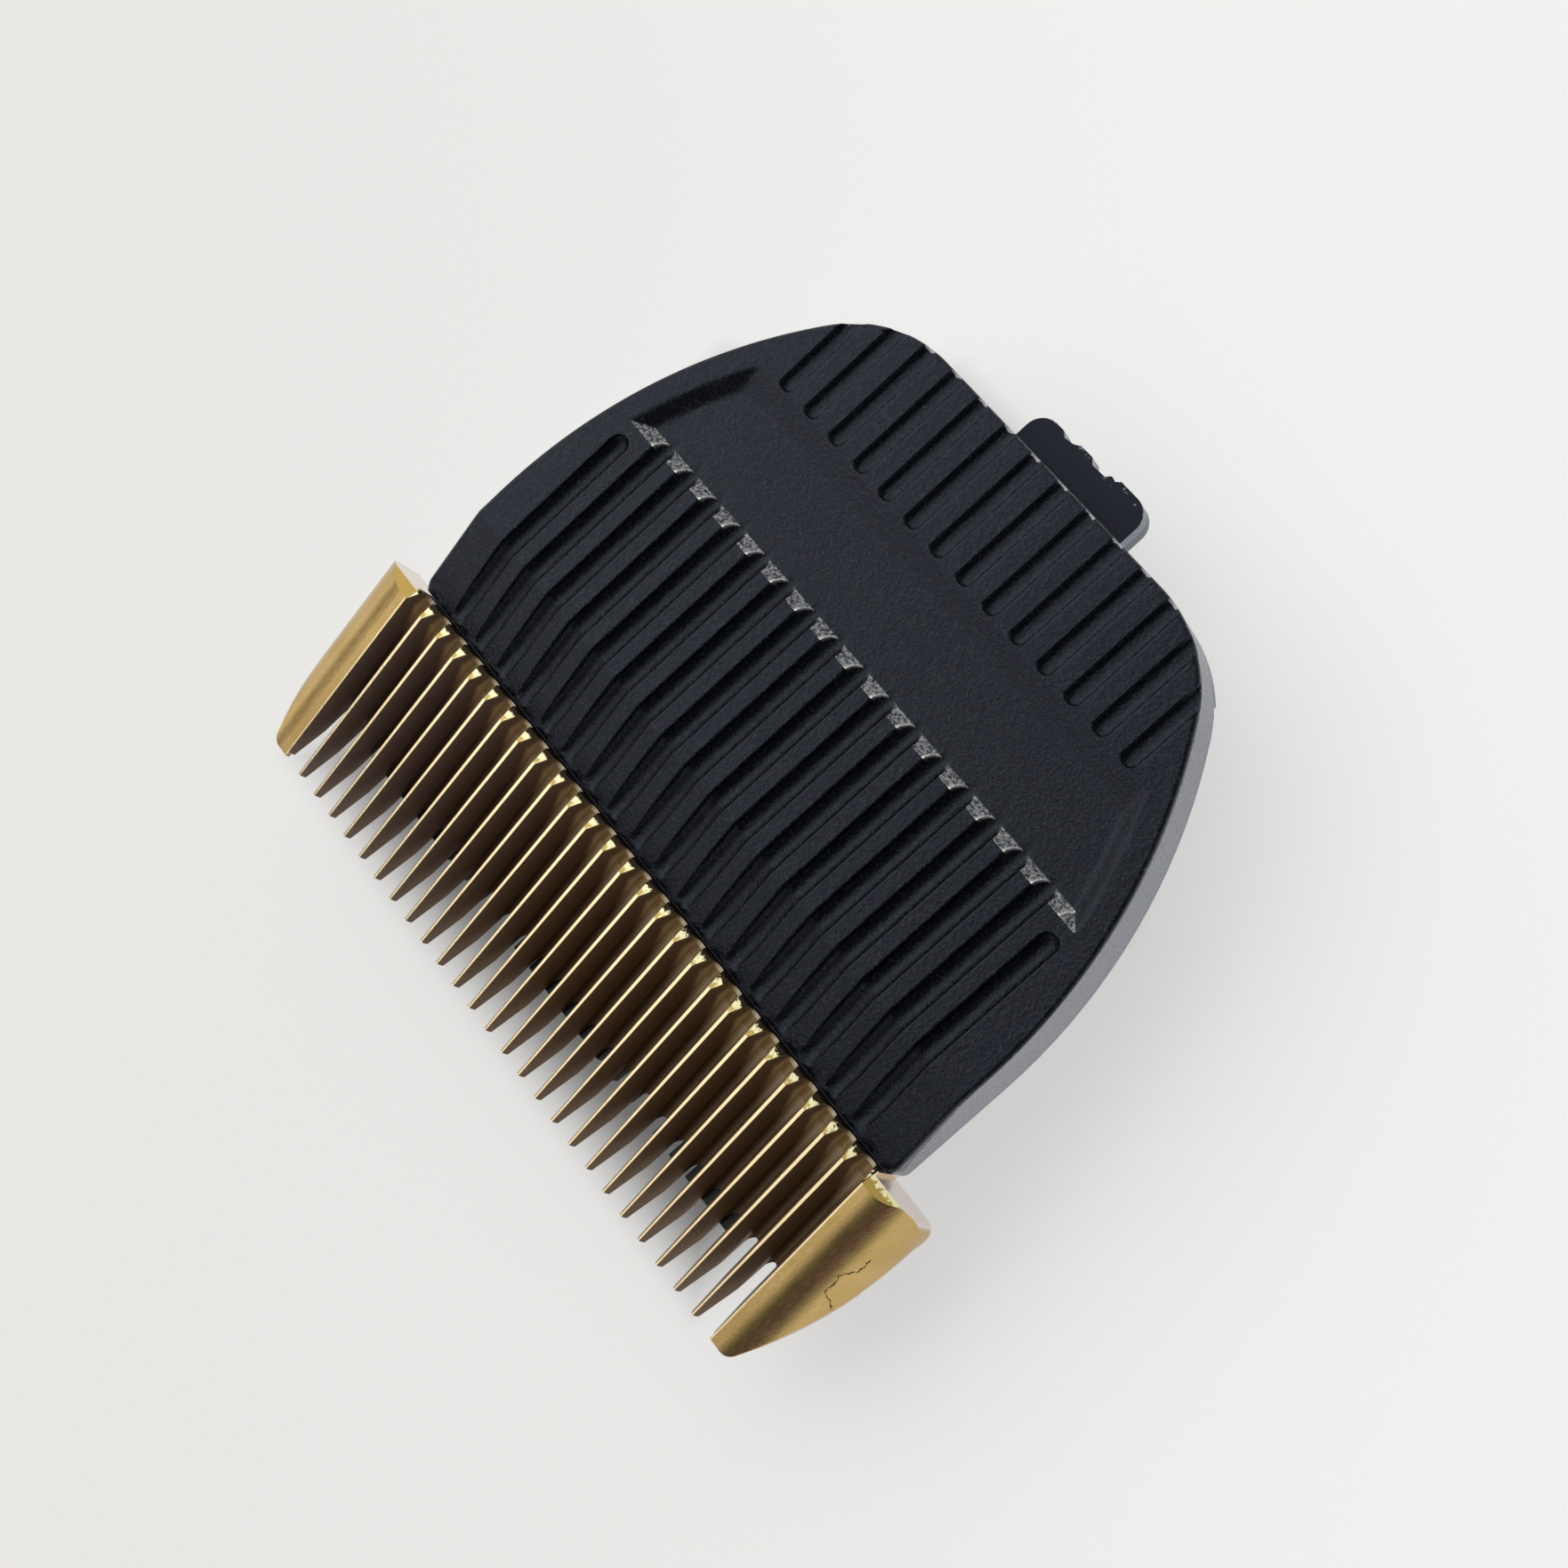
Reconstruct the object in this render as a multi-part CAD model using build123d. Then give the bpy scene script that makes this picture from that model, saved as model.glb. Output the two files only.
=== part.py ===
from build123d import *
import math
import os

# Clip-on blade head of a hair clipper, in millimetres.
# X runs along the row of teeth, Y from the tooth tips to the rear hook, Z up.
# Z = 0 is the plane that the head lies on, and the origin is under the middle of its footprint.

# Overall
HEAD_WIDTH = 46.0
TOOTH_REACH = 12.1
COVER_LENGTH = 27.8
HOOK_LENGTH = 2.3
SHEAR_HEIGHT = 5.3
COVER_RISE = 4.3

# Cover
COVER_WIDTH = 40.3
SIDE_RADIUS = 30.0
SIDE_STRAIGHT = 6.7
REAR_CORNER_RADIUS = 7.5
FRONT_CORNER_RADIUS = 0.6
RIM_RADIUS = 0.2
COVER_SKIN = 1.3
SKIRT_WALL = 1.25
SKIRT_DEPTH = 4.0
REAR_LIP_DEPTH = 0.55
REAR_LIP_LENGTH = 1.8
SLOPE_RUN = 5.14
SLOPE_ANGLE = 19.4
BOSS_RADIUS = 2.1

# Grooves and thumb recess of the cover
RIB_PITCH = 2.033
FRONT_GROOVES = 18
REAR_GROOVES = 14
GROOVE_WIDTH = 1.23
GROOVE_DEPTH = 0.42
GROOVE_FADE = 0.7
CLOSED_GROOVE_MARGIN = 0.7
STEP_SETBACK = 14.2
STEP_RUN = 0.67
RECESS_LENGTH = 6.8
RECESS_REAR_RUN = 1.5
RECESS_INSET = 1.35
RECESS_SIDE_RUN = 0.78
RECESS_DEPTH = 0.48

# Rear hook
HOOK_WIDTH = 8.0
HOOK_THICKNESS = 1.55
HOOK_DROP = 3.1
HOOK_CORNER_RADIUS = 1.1
HOOK_CHIP = 0.45

# Comb blade
TOOTH_PITCH = 1.525
GUARD_MIN_WIDTH = 3.0
RIDGE_ANGLE = 16.2
RIDGE_WIDTH = 0.17
TIP_HEIGHT = 0.32
TIP_RADIUS = 0.3
FLANK_DEPTH = 1.0
CHANNEL_WIDTH = 0.585
CHANNEL_SAG = 0.14
CHANNEL_REACH = 7.36
BEVEL_RUN = 0.85
BEVEL_ANGLE = 24.0
GUARD_BACK_RADIUS = 2.7
GUARD_STRAIGHT = 2.5
GUARD_SIDE_RADIUS = 24.0
GUARD_TIP_RADIUS = 0.7
GUARD_REAR_RADIUS = 0.7
GUARD_SETBACK = 0.2
PLATE_WIDTH = 37.0
PLATE_REACH = 12.4
PLATE_THICKNESS = 1.25
PLATE_CORNER_RADIUS = 1.6
RELIEF_DEPTH = 0.2
RELIEF_LENGTH = 3.6
SHEAR_LAND = 3.4

# Cutter
CUTTER_PITCH = 1.383
CUTTER_TEETH = 24
CUTTER_TOOTH_WIDTH = 0.72
CUTTER_TOOTH_LENGTH = 3.4
CUTTER_SETBACK = 3.7
CUTTER_LENGTH = 9.9
CUTTER_THICKNESS = 1.4
CUTTER_TIP_THICKNESS = 0.5
PEG_SPACING = 14.0
PEG_RADIUS = 1.05
PEG_SETBACK = 2.4

# Carrier
CARRIER_WIDTH = 23.0
CARRIER_LENGTH = 4.8
CARRIER_THICKNESS = 2.3
FORK_WALL = 1.7
FORK_HEADROOM = 0.4
FORK_FLOOR = 0.8
FORK_END_WALL = 1.0
SLOT_WIDTH = 4.6
SLOT_LENGTH = 8.0
SLOT_SETBACK = 6.8

# Spring frame
PAD_THICKNESS = 1.5
PAD_MARGIN = 0.35
WINDOW_WIDTH = 12.4
RAIL_WALL = 1.4
RAIL_SPACING = 26.2
RAIL_LENGTH = 18.5
BRIDGE_LENGTH = 1.8
BRIDGE_HEIGHT = 2.5
BRIDGE_GAP = 1.0

# Springs
WIRE = 0.6
COIL_RADIUS = 1.35
COIL_TURNS = 5
COIL_PITCH = 0.66
COIL_SETBACK = 3.9
COIL_FLOOR_GAP = 0.3
ARM_PAD_SETBACK = 2.0
SHORT_ARM_LEAN = 45.0
STUD_CLEARANCE = 0.1
COIL_INSET = 0.1

# Screws
SCREW_RADIUS = 1.0
SCREW_HEAD_RADIUS = 1.9
SCREW_HEAD_HEIGHT = 1.2
SCREW_SPACING = 32.2
SCREW_SETBACK = 6.8
SCREW_TIP_GAP = 0.5
RECESS_WIDTH = 0.5
RECESS_REACH = 2.2
SCREW_RECESS_DEPTH = 0.7

# Fits
RUN_GAP = 0.03
SEAM_GAP = 0.12
SLIDE_GAP = 0.15
SPRING_GAP = 0.05
SCREW_HEAD_GAP = 0.25
PIN_GAP = 0.03
OVERLAP = 0.5
CUT_MARGIN = 5.0

# Places worked out from the sizes
TIP_Y = -(TOOTH_REACH + COVER_LENGTH + HOOK_LENGTH) / 2
FRONT_Y = TIP_Y + TOOTH_REACH
REAR_Y = FRONT_Y + COVER_LENGTH
HOOK_Y = REAR_Y + HOOK_LENGTH
TOP_Z = SHEAR_HEIGHT + COVER_RISE
SKIRT_Z = TOP_Z - SKIRT_DEPTH
BREAK_Y = FRONT_Y + SLOPE_RUN
SLOPE = math.tan(math.radians(SLOPE_ANGLE))
STEP_Y = FRONT_Y + STEP_SETBACK
RECESS_REAR_Y = STEP_Y + RECESS_LENGTH
RIDGE_SLOPE = math.tan(math.radians(RIDGE_ANGLE))
KINK_Y = FRONT_Y - BEVEL_RUN
KINK_Z = SHEAR_HEIGHT + TIP_HEIGHT + RIDGE_SLOPE * (KINK_Y - TIP_Y)
CHANNEL_SLOPE = (TOP_Z - SLOPE * SLOPE_RUN - SHEAR_HEIGHT) / CHANNEL_REACH
CHANNEL_COUNT = math.floor((HEAD_WIDTH - 2 * GUARD_MIN_WIDTH) / TOOTH_PITCH)
GUARD_INNER_X = CHANNEL_COUNT / 2 * TOOTH_PITCH - RIDGE_WIDTH / 2
PLATE_TOP_Z = SHEAR_HEIGHT + PLATE_THICKNESS
PLATE_REAR_Y = FRONT_Y + PLATE_REACH
CUTTER_TIP_Y = TIP_Y + CUTTER_SETBACK
CUTTER_REAR_Y = CUTTER_TIP_Y + CUTTER_LENGTH
CUTTER_TOP_Z = SHEAR_HEIGHT - RUN_GAP
CUTTER_FOOT_Z = CUTTER_TOP_Z - CUTTER_THICKNESS
CARRIER_FOOT_Z = CUTTER_FOOT_Z - CARRIER_THICKNESS
PAD_FRONT_Y = CUTTER_REAR_Y + SLIDE_GAP
PAD_FOOT_Z = SHEAR_HEIGHT - PAD_THICKNESS
SCREW_Y = FRONT_Y + SCREW_SETBACK
SLOT_Y = CUTTER_REAR_Y + SLOT_SETBACK
FORK_REAR_Y = SLOT_Y + SLOT_LENGTH + FORK_END_WALL
RAIL_X = RAIL_SPACING / 2
COIL_Y = PAD_FRONT_Y + COIL_SETBACK
COIL_Z = COIL_FLOOR_GAP + WIRE / 2 + COIL_RADIUS
BOTH_SIDES = (-1, 1)


def block(x_low, x_high, y_low, y_high, z_low, z_high):
    """Box between two corners."""
    centre = ((x_low + x_high) / 2, (y_low + y_high) / 2, (z_low + z_high) / 2)
    return Pos(*centre) * Box(x_high - x_low, y_high - y_low, z_high - z_low)


def across(points, half_width):
    """Side profile of (y, z) points carried to both sides along X."""
    plane = Plane(origin=(0, 0, 0), x_dir=(0, 1, 0), z_dir=(1, 0, 0))
    return extrude(plane * make_face(Polyline(*points, close=True)), amount=half_width, both=True)


def climbing(face, y_start, z_start, run, slope):
    """Section square to its path, carried rearwards over run from y_start while it climbs by slope."""
    plane = Plane(origin=(0, y_start, z_start), x_dir=(1, 0, 0), z_dir=(0, -1, -slope))
    return extrude(plane * face, amount=-run * math.hypot(1, slope))


def cover_outline():
    """Plan of the cover: straight front, sides that turn in on large arcs, straight rear edge."""
    half = COVER_WIDTH / 2
    arc_y = FRONT_Y + SIDE_STRAIGHT
    sweep = math.degrees(math.asin((REAR_Y - arc_y) / SIDE_RADIUS))
    right = CenterArc((half - SIDE_RADIUS, arc_y), SIDE_RADIUS, 0, sweep)
    left = CenterArc((SIDE_RADIUS - half, arc_y), SIDE_RADIUS, 180 - sweep, sweep)
    front = Polyline(left @ 1, (-half, FRONT_Y), (half, FRONT_Y), right @ 0)
    rear = Line(right @ 1, left @ 0)
    face = make_face(Curve() + [front, right, rear, left])
    corners = face.vertices().group_by(Axis.Y)
    face = fillet(corners[-1], REAR_CORNER_RADIUS)
    return fillet(face.vertices().group_by(Axis.Y)[0], FRONT_CORNER_RADIUS)


def below_slope(drop):
    """Half space under the front slope and the flat top, lowered by drop."""
    low_z = -CUT_MARGIN
    flat_z = TOP_Z - drop
    front_y = FRONT_Y - CUT_MARGIN
    profile = [(front_y, flat_z - SLOPE * (SLOPE_RUN + CUT_MARGIN)), (BREAK_Y, flat_z)]
    profile += [(HOOK_Y + CUT_MARGIN, flat_z), (HOOK_Y + CUT_MARGIN, low_z), (front_y, low_z)]
    return across(profile, HEAD_WIDTH)


def groove_radius():
    """Radius of the round cutter whose cut has the groove's width and depth."""
    return (GROOVE_WIDTH ** 2 / 4 + GROOVE_DEPTH ** 2) / (2 * GROOVE_DEPTH)


def groove(x, y_front, y_rear, ball_ends):
    """Round-bottomed groove parallel to the top face, with ball ends at the places given."""
    radius = groove_radius()
    axis_z = TOP_Z - GROOVE_DEPTH + radius
    run = climbing(Pos(x, 0) * Circle(radius), y_front, axis_z, y_rear - y_front, 0)
    return [run] + [Pos(x, y, axis_z) * Sphere(radius) for y in ball_ends]


def slope_groove(x):
    """Stretch of a groove down the front slope, where it runs out before the front edge."""
    radius = groove_radius()
    axis_z = TOP_Z - GROOVE_DEPTH + radius
    fade_run = SLOPE_RUN - GROOVE_FADE
    slope = SLOPE - GROOVE_DEPTH / fade_run
    section = Pos(x, 0) * Circle(radius)
    return climbing(section, BREAK_Y - fade_run, axis_z - slope * fade_run, fade_run, slope)


def groove_tools():
    """Both banks of grooves; the outermost front pair stops short of the step."""
    end = math.sqrt(groove_radius() ** 2 - (groove_radius() - GROOVE_DEPTH) ** 2)
    tools = []
    for i in range(FRONT_GROOVES):
        x = (i - (FRONT_GROOVES - 1) / 2) * RIB_PITCH
        closed = i in (0, FRONT_GROOVES - 1)
        closed_y = STEP_Y - CLOSED_GROOVE_MARGIN - end
        y_rear = closed_y if closed else STEP_Y + STEP_RUN
        tools += groove(x, BREAK_Y, y_rear, [BREAK_Y, closed_y] if closed else [BREAK_Y])
        tools.append(slope_groove(x))
    for i in range(REAR_GROOVES):
        x = (i - (REAR_GROOVES - 1) / 2) * RIB_PITCH
        tools += groove(x, RECESS_REAR_Y + end, REAR_Y + GROOVE_WIDTH, [RECESS_REAR_Y + end])
    return tools


def recess_tool():
    """Thumb recess: flat floor, steep step in front, sides on cones about the side arcs, long rise behind."""
    over = 0.1
    share = over / RECESS_DEPTH
    floor_z = TOP_Z - RECESS_DEPTH
    height = RECESS_DEPTH + over
    profile = [(STEP_Y - STEP_RUN * share, TOP_Z + over), (STEP_Y + STEP_RUN, floor_z)]
    profile += [(RECESS_REAR_Y - RECESS_REAR_RUN, floor_z), (RECESS_REAR_Y + RECESS_REAR_RUN * share, TOP_Z + over)]
    tool = across(profile, COVER_WIDTH)
    floor_radius = SIDE_RADIUS - RECESS_INSET - RECESS_SIDE_RUN
    rim_radius = floor_radius + RECESS_SIDE_RUN * (1 + share)
    for side in BOTH_SIDES:
        centre = (side * (COVER_WIDTH / 2 - SIDE_RADIUS), FRONT_Y + SIDE_STRAIGHT, floor_z + height / 2)
        tool &= Pos(*centre) * Cone(floor_radius, rim_radius, height)
    return tool


def hook():
    """Rear hook: a short flat tongue whose rear edge is chipped."""
    half = HOOK_WIDTH / 2
    root_y = REAR_Y - SKIRT_WALL
    chip = HOOK_CHIP
    rear = HOOK_Y
    edge = [(half, root_y), (half, rear), (0.42 * half, rear), (0.36 * half, rear - 0.5 * chip)]
    edge += [(0.28 * half, rear - 0.3 * chip), (0.22 * half, rear - 0.9 * chip), (0, rear - chip)]
    edge += [(-0.08 * half, rear - 0.4 * chip), (-0.28 * half, rear - 0.4 * chip)]
    edge += [(-0.38 * half, rear - 0.9 * chip), (-0.52 * half, rear - 1.1 * chip)]
    edge += [(-0.6 * half, rear - 0.6 * chip), (-half, rear - 0.6 * chip), (-half, root_y)]
    face = make_face(Polyline(*edge, close=True))
    corners = [v for v in face.vertices() if v.Y > REAR_Y and abs(abs(v.X) - half) < 1e-6]
    face = fillet(corners, HOOK_CORNER_RADIUS)
    top_z = TOP_Z - HOOK_DROP
    return extrude(Pos(0, 0, top_z - HOOK_THICKNESS) * face, amount=HOOK_THICKNESS)


def make_cover():
    """Cast cover: skin and skirt round an open underside, with grooves, recess, bosses and hook."""
    outline = cover_outline()
    lip_z = SKIRT_Z - REAR_LIP_DEPTH
    body = extrude(Pos(0, 0, SKIRT_Z) * outline, amount=TOP_Z - SKIRT_Z) & below_slope(0)
    rim = body.edges().filter_by(lambda e: e.center().Z > SKIRT_Z + COVER_SKIN)
    rim = rim.filter_by(lambda e: e.bounding_box().min.Z > SKIRT_Z + COVER_SKIN)
    rim = rim.filter_by(lambda e: abs(e.center().X) > RIB_PITCH or e.center().Y > BREAK_Y + SLOPE_RUN)
    body = fillet(rim, RIM_RADIUS)
    lip = extrude(Pos(0, 0, lip_z) * outline, amount=SKIRT_Z - lip_z)
    lip &= block(-HEAD_WIDTH, HEAD_WIDTH, REAR_Y - REAR_LIP_LENGTH, HOOK_Y, 0, TOP_Z)
    inside = extrude(offset(outline, amount=-SKIRT_WALL), amount=TOP_Z) & below_slope(COVER_SKIN)
    plate_half = PLATE_WIDTH / 2 + SEAM_GAP
    plate_way = block(-plate_half, plate_half, FRONT_Y - 1, FRONT_Y + SKIRT_WALL + 1, 0, PLATE_TOP_Z)
    body = body + lip - [inside, plate_way]
    seam = block(-HEAD_WIDTH, HEAD_WIDTH, FRONT_Y - 1, FRONT_Y + SEAM_GAP, 0, TOP_Z)
    tools = groove_tools() + [recess_tool(), seam]
    for side in BOTH_SIDES:
        x = side * SCREW_SPACING / 2
        boss_height = TOP_Z - COVER_SKIN - PLATE_TOP_Z + OVERLAP
        boss = Pos(x, SCREW_Y, PLATE_TOP_Z + boss_height / 2) * Cylinder(BOSS_RADIUS, boss_height)
        body += boss & below_slope(COVER_SKIN / 2)
        pilot_height = TOP_Z - COVER_SKIN - PLATE_TOP_Z
        pilot = Cylinder(SCREW_RADIUS + PIN_GAP, pilot_height)
        tools.append(Pos(x, SCREW_Y, PLATE_TOP_Z + pilot_height / 2) * pilot)
    return body + hook() - tools


def channel_tools():
    """Grinding passes between the teeth: a flared pass along the ridges and a deep round-bottomed one."""
    half_top = (TOOTH_PITCH - RIDGE_WIDTH) / 2
    half_foot = CHANNEL_WIDTH / 2
    over = 1.0
    flare = (half_top - half_foot) / FLANK_DEPTH
    wide = half_top + flare * over
    start_y = TIP_Y - 1
    run = FRONT_Y + 1 - start_y
    ridge_z = SHEAR_HEIGHT + TIP_HEIGHT + RIDGE_SLOPE * (start_y - TIP_Y)
    floor_z = SHEAR_HEIGHT + CHANNEL_SLOPE * (start_y - FRONT_Y + CHANNEL_REACH)
    tools = []
    for j in range(CHANNEL_COUNT):
        x = (j - (CHANNEL_COUNT - 1) / 2) * TOOTH_PITCH
        flank = [(x - half_foot, -FLANK_DEPTH), (x + half_foot, -FLANK_DEPTH), (x + wide, over), (x - wide, over)]
        tools.append(climbing(make_face(Polyline(*flank, close=True)), start_y, ridge_z, run, RIDGE_SLOPE))
        bottom = ThreePointArc((x - half_foot, CHANNEL_SAG), (x, 0), (x + half_foot, CHANNEL_SAG))
        top = FLANK_DEPTH + over
        walls = Polyline((x + half_foot, CHANNEL_SAG), (x + half_foot, top), (x - half_foot, top),
                         (x - half_foot, CHANNEL_SAG))
        tools.append(climbing(make_face(Curve() + [bottom, walls]), start_y, floor_z, run, CHANNEL_SLOPE))
    return tools


def guard_outline(side):
    """Plan of one end guard: outer side that turns in on a large arc, rounded tip and rear corner."""
    outer = HEAD_WIDTH / 2
    rear = FRONT_Y - GUARD_SETBACK
    arc_y = FRONT_Y - GUARD_STRAIGHT
    sweep_angle = math.degrees(math.asin((arc_y - TIP_Y) / GUARD_SIDE_RADIUS))
    bend = CenterArc((outer - GUARD_SIDE_RADIUS, arc_y), GUARD_SIDE_RADIUS, -sweep_angle, sweep_angle)
    rest = Polyline(bend @ 1, (outer, rear), (GUARD_INNER_X, rear), (GUARD_INNER_X, TIP_Y), bend @ 0)
    face = make_face(Curve() + [bend, rest])
    tip = face.vertices().group_by(Axis.Y)[0].sort_by(Axis.X)[-1]
    face = fillet(tip, GUARD_TIP_RADIUS)
    corner = face.vertices().group_by(Axis.Y)[-1].sort_by(Axis.X)[-1]
    face = fillet(corner, GUARD_REAR_RADIUS)
    return face if side > 0 else mirror(face, about=Plane.YZ)


def guard(side):
    """End guard: a bar with a rounded back that follows the ridges down to the comb's underside."""
    inner = GUARD_INNER_X
    outer = HEAD_WIDTH / 2
    radius = GUARD_BACK_RADIUS
    back = CenterArc((outer - radius, -radius), radius, 0, 90)
    depth = -(KINK_Z - SHEAR_HEIGHT) - CUT_MARGIN
    sides = Polyline(back @ 1, (inner, 0), (inner, depth), (outer, depth), back @ 0)
    face = make_face(Curve() + [back, sides])
    if side < 0:
        face = mirror(face, about=Plane.YZ)
    lead = OVERLAP
    start_z = SHEAR_HEIGHT + TIP_HEIGHT - RIDGE_SLOPE * lead
    bar = climbing(face, TIP_Y - lead, start_z, TOOTH_REACH + 2 * lead + CUT_MARGIN, RIDGE_SLOPE)
    prism = extrude(Pos(0, 0, SHEAR_HEIGHT) * guard_outline(side), amount=TOP_Z - SHEAR_HEIGHT)
    return bar & prism


def tooth_row_outline():
    """Plan of the row of teeth, each with a round tip."""
    half = GUARD_INNER_X + RIDGE_WIDTH / 2
    start = TIP_Y + TIP_RADIUS
    face = Pos(0, (start + FRONT_Y) / 2) * Rectangle(2 * half, FRONT_Y - start)
    for j in range(CHANNEL_COUNT - 1):
        x = (j - (CHANNEL_COUNT - 2) / 2) * TOOTH_PITCH
        face += Pos(x, start) * Circle(TIP_RADIUS)
    return face


def make_fixed_blade():
    """Comb blade: ground teeth and end guards in front, flat clamped plate behind."""
    half = GUARD_INNER_X + RIDGE_WIDTH / 2
    rear_z = KINK_Z - BEVEL_RUN * math.tan(math.radians(BEVEL_ANGLE))
    profile = [(TIP_Y, SHEAR_HEIGHT), (TIP_Y, SHEAR_HEIGHT + TIP_HEIGHT), (KINK_Y, KINK_Z)]
    profile += [(FRONT_Y, rear_z), (FRONT_Y, SHEAR_HEIGHT)]
    row = across(profile, half)
    row &= extrude(Pos(0, 0, SHEAR_HEIGHT) * tooth_row_outline(), amount=TOP_Z - SHEAR_HEIGHT)
    row -= channel_tools()
    bevel = across([(KINK_Y, KINK_Z), (FRONT_Y, rear_z), (FRONT_Y, TOP_Z + 1), (KINK_Y, TOP_Z + 1)], HEAD_WIDTH)
    plate_half = PLATE_WIDTH / 2
    plate = block(-plate_half, plate_half, FRONT_Y - OVERLAP, PLATE_REAR_Y, SHEAR_HEIGHT, PLATE_TOP_Z)
    plate = fillet(plate.edges().filter_by(Axis.Z).group_by(Axis.Y)[-1], PLATE_CORNER_RADIUS)
    blade = row + [guard(side) - bevel for side in BOTH_SIDES] + plate
    relief_y = TIP_Y + CUTTER_SETBACK + SHEAR_LAND
    relief = block(-HEAD_WIDTH, HEAD_WIDTH, relief_y, relief_y + RELIEF_LENGTH,
                   SHEAR_HEIGHT - 1, SHEAR_HEIGHT + RELIEF_DEPTH)
    holes = [Pos(side * SCREW_SPACING / 2, SCREW_Y, PLATE_TOP_Z) * Cylinder(SCREW_RADIUS + SLIDE_GAP, CUT_MARGIN)
             for side in BOTH_SIDES]
    return blade - holes - relief


def make_moving_blade():
    """Cutter: flat toothed plate, thinned towards its tooth tips, with two peg holes."""
    half = CUTTER_TEETH * CUTTER_PITCH / 2
    root_y = CUTTER_TIP_Y + CUTTER_TOOTH_LENGTH
    profile = [(CUTTER_TIP_Y, CUTTER_TOP_Z), (CUTTER_REAR_Y, CUTTER_TOP_Z), (CUTTER_REAR_Y, CUTTER_FOOT_Z)]
    profile += [(root_y, CUTTER_FOOT_Z), (CUTTER_TIP_Y, CUTTER_TOP_Z - CUTTER_TIP_THICKNESS)]
    plate = across(profile, half)
    gap = CUTTER_PITCH - CUTTER_TOOTH_WIDTH
    tools = []
    for j in range(CUTTER_TEETH + 1):
        x = (j - CUTTER_TEETH / 2) * CUTTER_PITCH
        y_low = CUTTER_TIP_Y - 1
        slot = Pos(x, (y_low + root_y - gap / 2) / 2) * Rectangle(gap, root_y - gap / 2 - y_low)
        slot += Pos(x, root_y - gap / 2) * Circle(gap / 2)
        tools.append(extrude(slot, amount=SHEAR_HEIGHT + 1))
    for side in BOTH_SIDES:
        centre = (side * PEG_SPACING / 2, CUTTER_REAR_Y - PEG_SETBACK, CUTTER_TOP_Z)
        tools.append(Pos(*centre) * Cylinder(PEG_RADIUS + PIN_GAP, CUT_MARGIN))
    return plate - tools


def make_cutter_carrier():
    """Carrier: bar with two pegs under the cutter, and an arm with the slot for the drive pin."""
    half = CARRIER_WIDTH / 2
    bar_rear = CUTTER_REAR_Y - SLIDE_GAP
    bar = block(-half, half, bar_rear - CARRIER_LENGTH, bar_rear, CARRIER_FOOT_Z, CUTTER_FOOT_Z)
    bar = fillet(bar.edges().filter_by(Axis.Z), CARRIER_LENGTH / 6)
    arm_half = SLOT_WIDTH / 2 + FORK_WALL
    arm_front = bar_rear - CARRIER_LENGTH / 2
    low_arm = block(-arm_half, arm_half, arm_front, FORK_REAR_Y, FORK_FLOOR, CUTTER_FOOT_Z - RUN_GAP)
    fork_front = PAD_FRONT_Y + SLIDE_GAP
    fork = block(-arm_half, arm_half, fork_front, FORK_REAR_Y, FORK_FLOOR, SHEAR_HEIGHT - FORK_HEADROOM)
    carrier = bar + low_arm + fork
    rear_edges = carrier.edges().filter_by(Axis.Z).group_by(Axis.Y)[-1]
    carrier = fillet(rear_edges, FORK_WALL * 0.8)
    slot_mid = SLOT_Y + SLOT_LENGTH / 2
    slot = Pos(0, slot_mid) * RectangleRounded(SLOT_WIDTH, SLOT_LENGTH, SLOT_WIDTH / 6)
    carrier -= extrude(slot, amount=SHEAR_HEIGHT)
    for side in BOTH_SIDES:
        peg_height = CUTTER_THICKNESS - SLIDE_GAP
        centre = (side * PEG_SPACING / 2, CUTTER_REAR_Y - PEG_SETBACK, CUTTER_FOOT_Z + peg_height / 2)
        carrier += Pos(*centre) * Cylinder(PEG_RADIUS, peg_height)
    return carrier


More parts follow.
